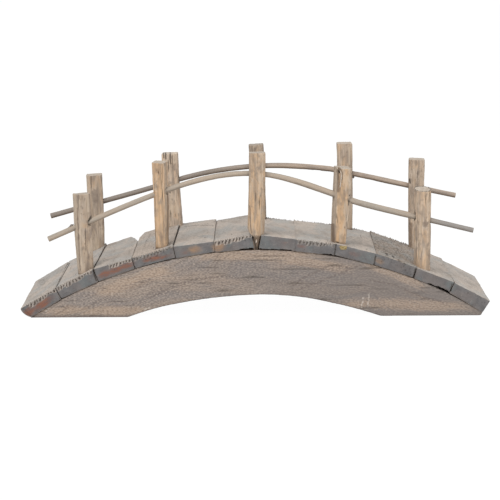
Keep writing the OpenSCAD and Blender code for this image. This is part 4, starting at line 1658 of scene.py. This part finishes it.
def strip(name, places, thick, material):
    """A thin splinter through places, six-sided, thickest in the middle and closed at both ends."""
    work = bmesh.new()
    rings = []
    for index, place in enumerate(places):
        ahead = places[min(index + 1, len(places) - 1)] - places[max(index - 1, 0)]
        side = ahead.cross(Vector((0, 1, 0))).normalized()
        out = side.cross(ahead).normalized()
        share = index / (len(places) - 1)
        radius = thick * (0.3 + 0.7 * math.sin(math.pi * (0.15 + 0.7 * share)))
        turns = [math.tau * step / STRIP_SIDES for step in range(STRIP_SIDES)]
        ring = [place + radius * (side * math.cos(turn) + 0.6 * out * math.sin(turn)) for turn in turns]
        rings.append([work.verts.new(corner) for corner in ring])
    for first, second in zip(rings, rings[1:]):
        for step in range(STRIP_SIDES):
            after = (step + 1) % STRIP_SIDES
            work.faces.new((first[step], first[after], second[after], second[step]))
    work.faces.new(rings[0][::-1])
    work.faces.new(rings[-1])
    bmesh.ops.recalc_face_normals(work, faces=work.faces)
    return smooth_object(work, name, material)


def blob(name, place, normal, size, seed, material):
    """A lump pressed on a surface: size is across, up and out."""
    work = bmesh.new()
    bmesh.ops.create_icosphere(work, subdivisions=4, radius=1.0)
    out = normal.normalized()
    across = Vector((0, 0, 1)).cross(out).normalized()
    axes = (across, out.cross(across), out)
    for vertex in work.verts:
        swell = 1 + 0.35 * noise.noise(vertex.co * 1.3 + Vector((seed, 0, 0)))
        corner = Vector()
        for axis, length, part in zip(axes, size, vertex.co):
            corner += axis * (length * part * swell)
        vertex.co = place + corner
    return smooth_object(work, name, material)


class MOONBRIDGE_OT_bits(BridgeOperator):
    """Adds loose splinters and drops of glue"""

    bl_idname = "moonbridge.bits"
    bl_label = "Splinters and glue"

    def execute(self, context):
        for number, (node, thick, finish, pixels) in enumerate(SPLINTERS):
            places = self.path(node, pixels, thick * MM)
            hand_over(strip(f"splinter_{number}", places, thick * MM, finish), "post_wood")
        for number, (node, pixel, size, material) in enumerate(DROPS):
            place, normal = seen_at(bpy.data.objects[node], pixel)
            size = [length * MM for length in size]
            piece = blob(f"drop_{number}", place, normal, size, number * 5.0, material)
            hand_over(piece, "post_wood")
        return {"FINISHED"}

    def path(self, node, pixels, lift):
        """Places under a line of pixels: just off a piece's surface, or over the middle of a rail."""
        places = []
        for first, second in zip(pixels, pixels[1:]):
            for step in range(PATH_STEPS):
                share = step / PATH_STEPS
                pixel = [a + share * (b - a) for a, b in zip(first, second)]
                if node in frame["nodes"]:
                    rail = rail_rings(node).mean(axis=1)
                    ray = view_ray(pixel)
                    x = CAMERA_PLACE.x - CAMERA_PLACE.y * ray.x / ray.y
                    deep = np.interp(x, rail[:, 0], rail[:, 1])
                    places.append(CAMERA_PLACE + ray * ((deep - CAMERA_PLACE.y) / ray.y))
                else:
                    place, normal = seen_at(bpy.data.objects[node], pixel)
                    places.append(place + normal * lift * 0.6)
        return places


class MOONBRIDGE_OT_stage(BridgeOperator):
    """Sets the camera, floor, world and lamps"""

    bl_idname = "moonbridge.stage"
    bl_label = "Stage"

    def execute(self, context):
        self.camera(context)
        self.floor()
        self.world(context)
        for lamp in LAMPS:
            self.lamp(*lamp)
        context.scene.view_settings.view_transform = "Standard"
        return {"FINISHED"}

    def camera(self, context):
        data = bpy.data.cameras.new("Camera")
        data.sensor_width = SENSOR
        data.lens = SENSOR * FOCAL / IMAGE_SIDE
        camera = new_object("Camera", data)
        camera.matrix_world = camera_matrix()
        context.scene.camera = camera

    def floor(self):
        half = self.sizes.floor_side / 2
        mesh = bpy.data.meshes.new("Floor")
        corners = [(-half, -half, 0), (half, -half, 0), (half, half, 0), (-half, half, 0)]
        mesh.from_pydata(corners, [], [(0, 1, 2, 3)])
        graph, shader = new_material("Floor")
        graph.feed(shader.inputs["Base Color"], FLOOR_COLOUR)
        graph.feed(shader.inputs["Roughness"], 1.0)
        rays = graph.tree.nodes.new("ShaderNodeLightPath").outputs
        seen = Wire(graph, rays["Is Camera Ray"]).most(Wire(graph, rays["Is Glossy Ray"]))
        glow = graph.add("ShaderNodeEmission", None, {"Color": WHITE, "Strength": FLOOR_GLOW})
        mixed = graph.add("ShaderNodeMixShader", None,
                          {0: seen * FLOOR_SEEN, 1: Wire(graph, shader.outputs[0]), 2: glow})
        sheet = graph.tree.nodes["Material Output"]
        graph.feed(sheet.inputs["Surface"], mixed)
        mesh.materials.append(bpy.data.materials["Floor"])
        new_object("Floor", mesh)

    def world(self, context):
        world = bpy.data.worlds.new("Studio")
        context.scene.world = world
        world.use_nodes = True
        graph = Graph(world.node_tree)
        rays = graph.tree.nodes.new("ShaderNodeLightPath").outputs
        seen = Wire(graph, rays["Is Camera Ray"])
        seen = seen.most(Wire(graph, rays["Is Glossy Ray"])).most(Wire(graph, rays["Is Transmission Ray"]))
        back = graph.tree.nodes["Background"]
        graph.feed(back.inputs["Color"], WHITE)
        graph.feed(back.inputs["Strength"], SKY + (1 - SKY) * seen)

    def lamp(self, name, place, side, power):
        data = bpy.data.lights.new(name, "AREA")
        data.shape = "SQUARE"
        data.size = side
        data.energy = power
        lamp = new_object(name, data)
        lamp.location = place
        lamp.rotation_euler = (LAMP_TARGET - Vector(place)).to_track_quat("-Z", "Y").to_euler()


STEPS = (
    MOONBRIDGE_OT_trees, MOONBRIDGE_OT_stringers, MOONBRIDGE_OT_boards, MOONBRIDGE_OT_posts,
    MOONBRIDGE_OT_rails, MOONBRIDGE_OT_slivers, MOONBRIDGE_OT_bits, MOONBRIDGE_OT_stage,
)


class MOONBRIDGE_PT_panel(bpy.types.Panel):
    """Lists the bridge's steps and settings"""

    bl_idname = "MOONBRIDGE_PT_panel"
    bl_label = "Moon Bridge"
    bl_space_type = "VIEW_3D"
    bl_region_type = "UI"
    bl_category = "Moon Bridge"

    def draw(self, context):
        for step in STEPS:
            self.layout.operator(step.bl_idname)
        for group in (context.scene.bridge_sizes, context.scene.bridge_colours):
            for name in group.__annotations__:
                self.layout.prop(group, name)


CLASSES = (BridgeColours, BridgeSizes) + STEPS + (MOONBRIDGE_PT_panel,)


def register():
    for item in CLASSES:
        bpy.utils.register_class(item)
    bpy.types.Scene.bridge_colours = bpy.props.PointerProperty(type=BridgeColours)
    bpy.types.Scene.bridge_sizes = bpy.props.PointerProperty(type=BridgeSizes)


def unregister():
    del bpy.types.Scene.bridge_sizes
    del bpy.types.Scene.bridge_colours
    for item in reversed(CLASSES):
        bpy.utils.unregister_class(item)


def main():
    register()
    for step in STEPS:
        group, name = step.bl_idname.split(".")
        getattr(getattr(bpy.ops, group), name)()


if __name__ == "__main__":
    main()
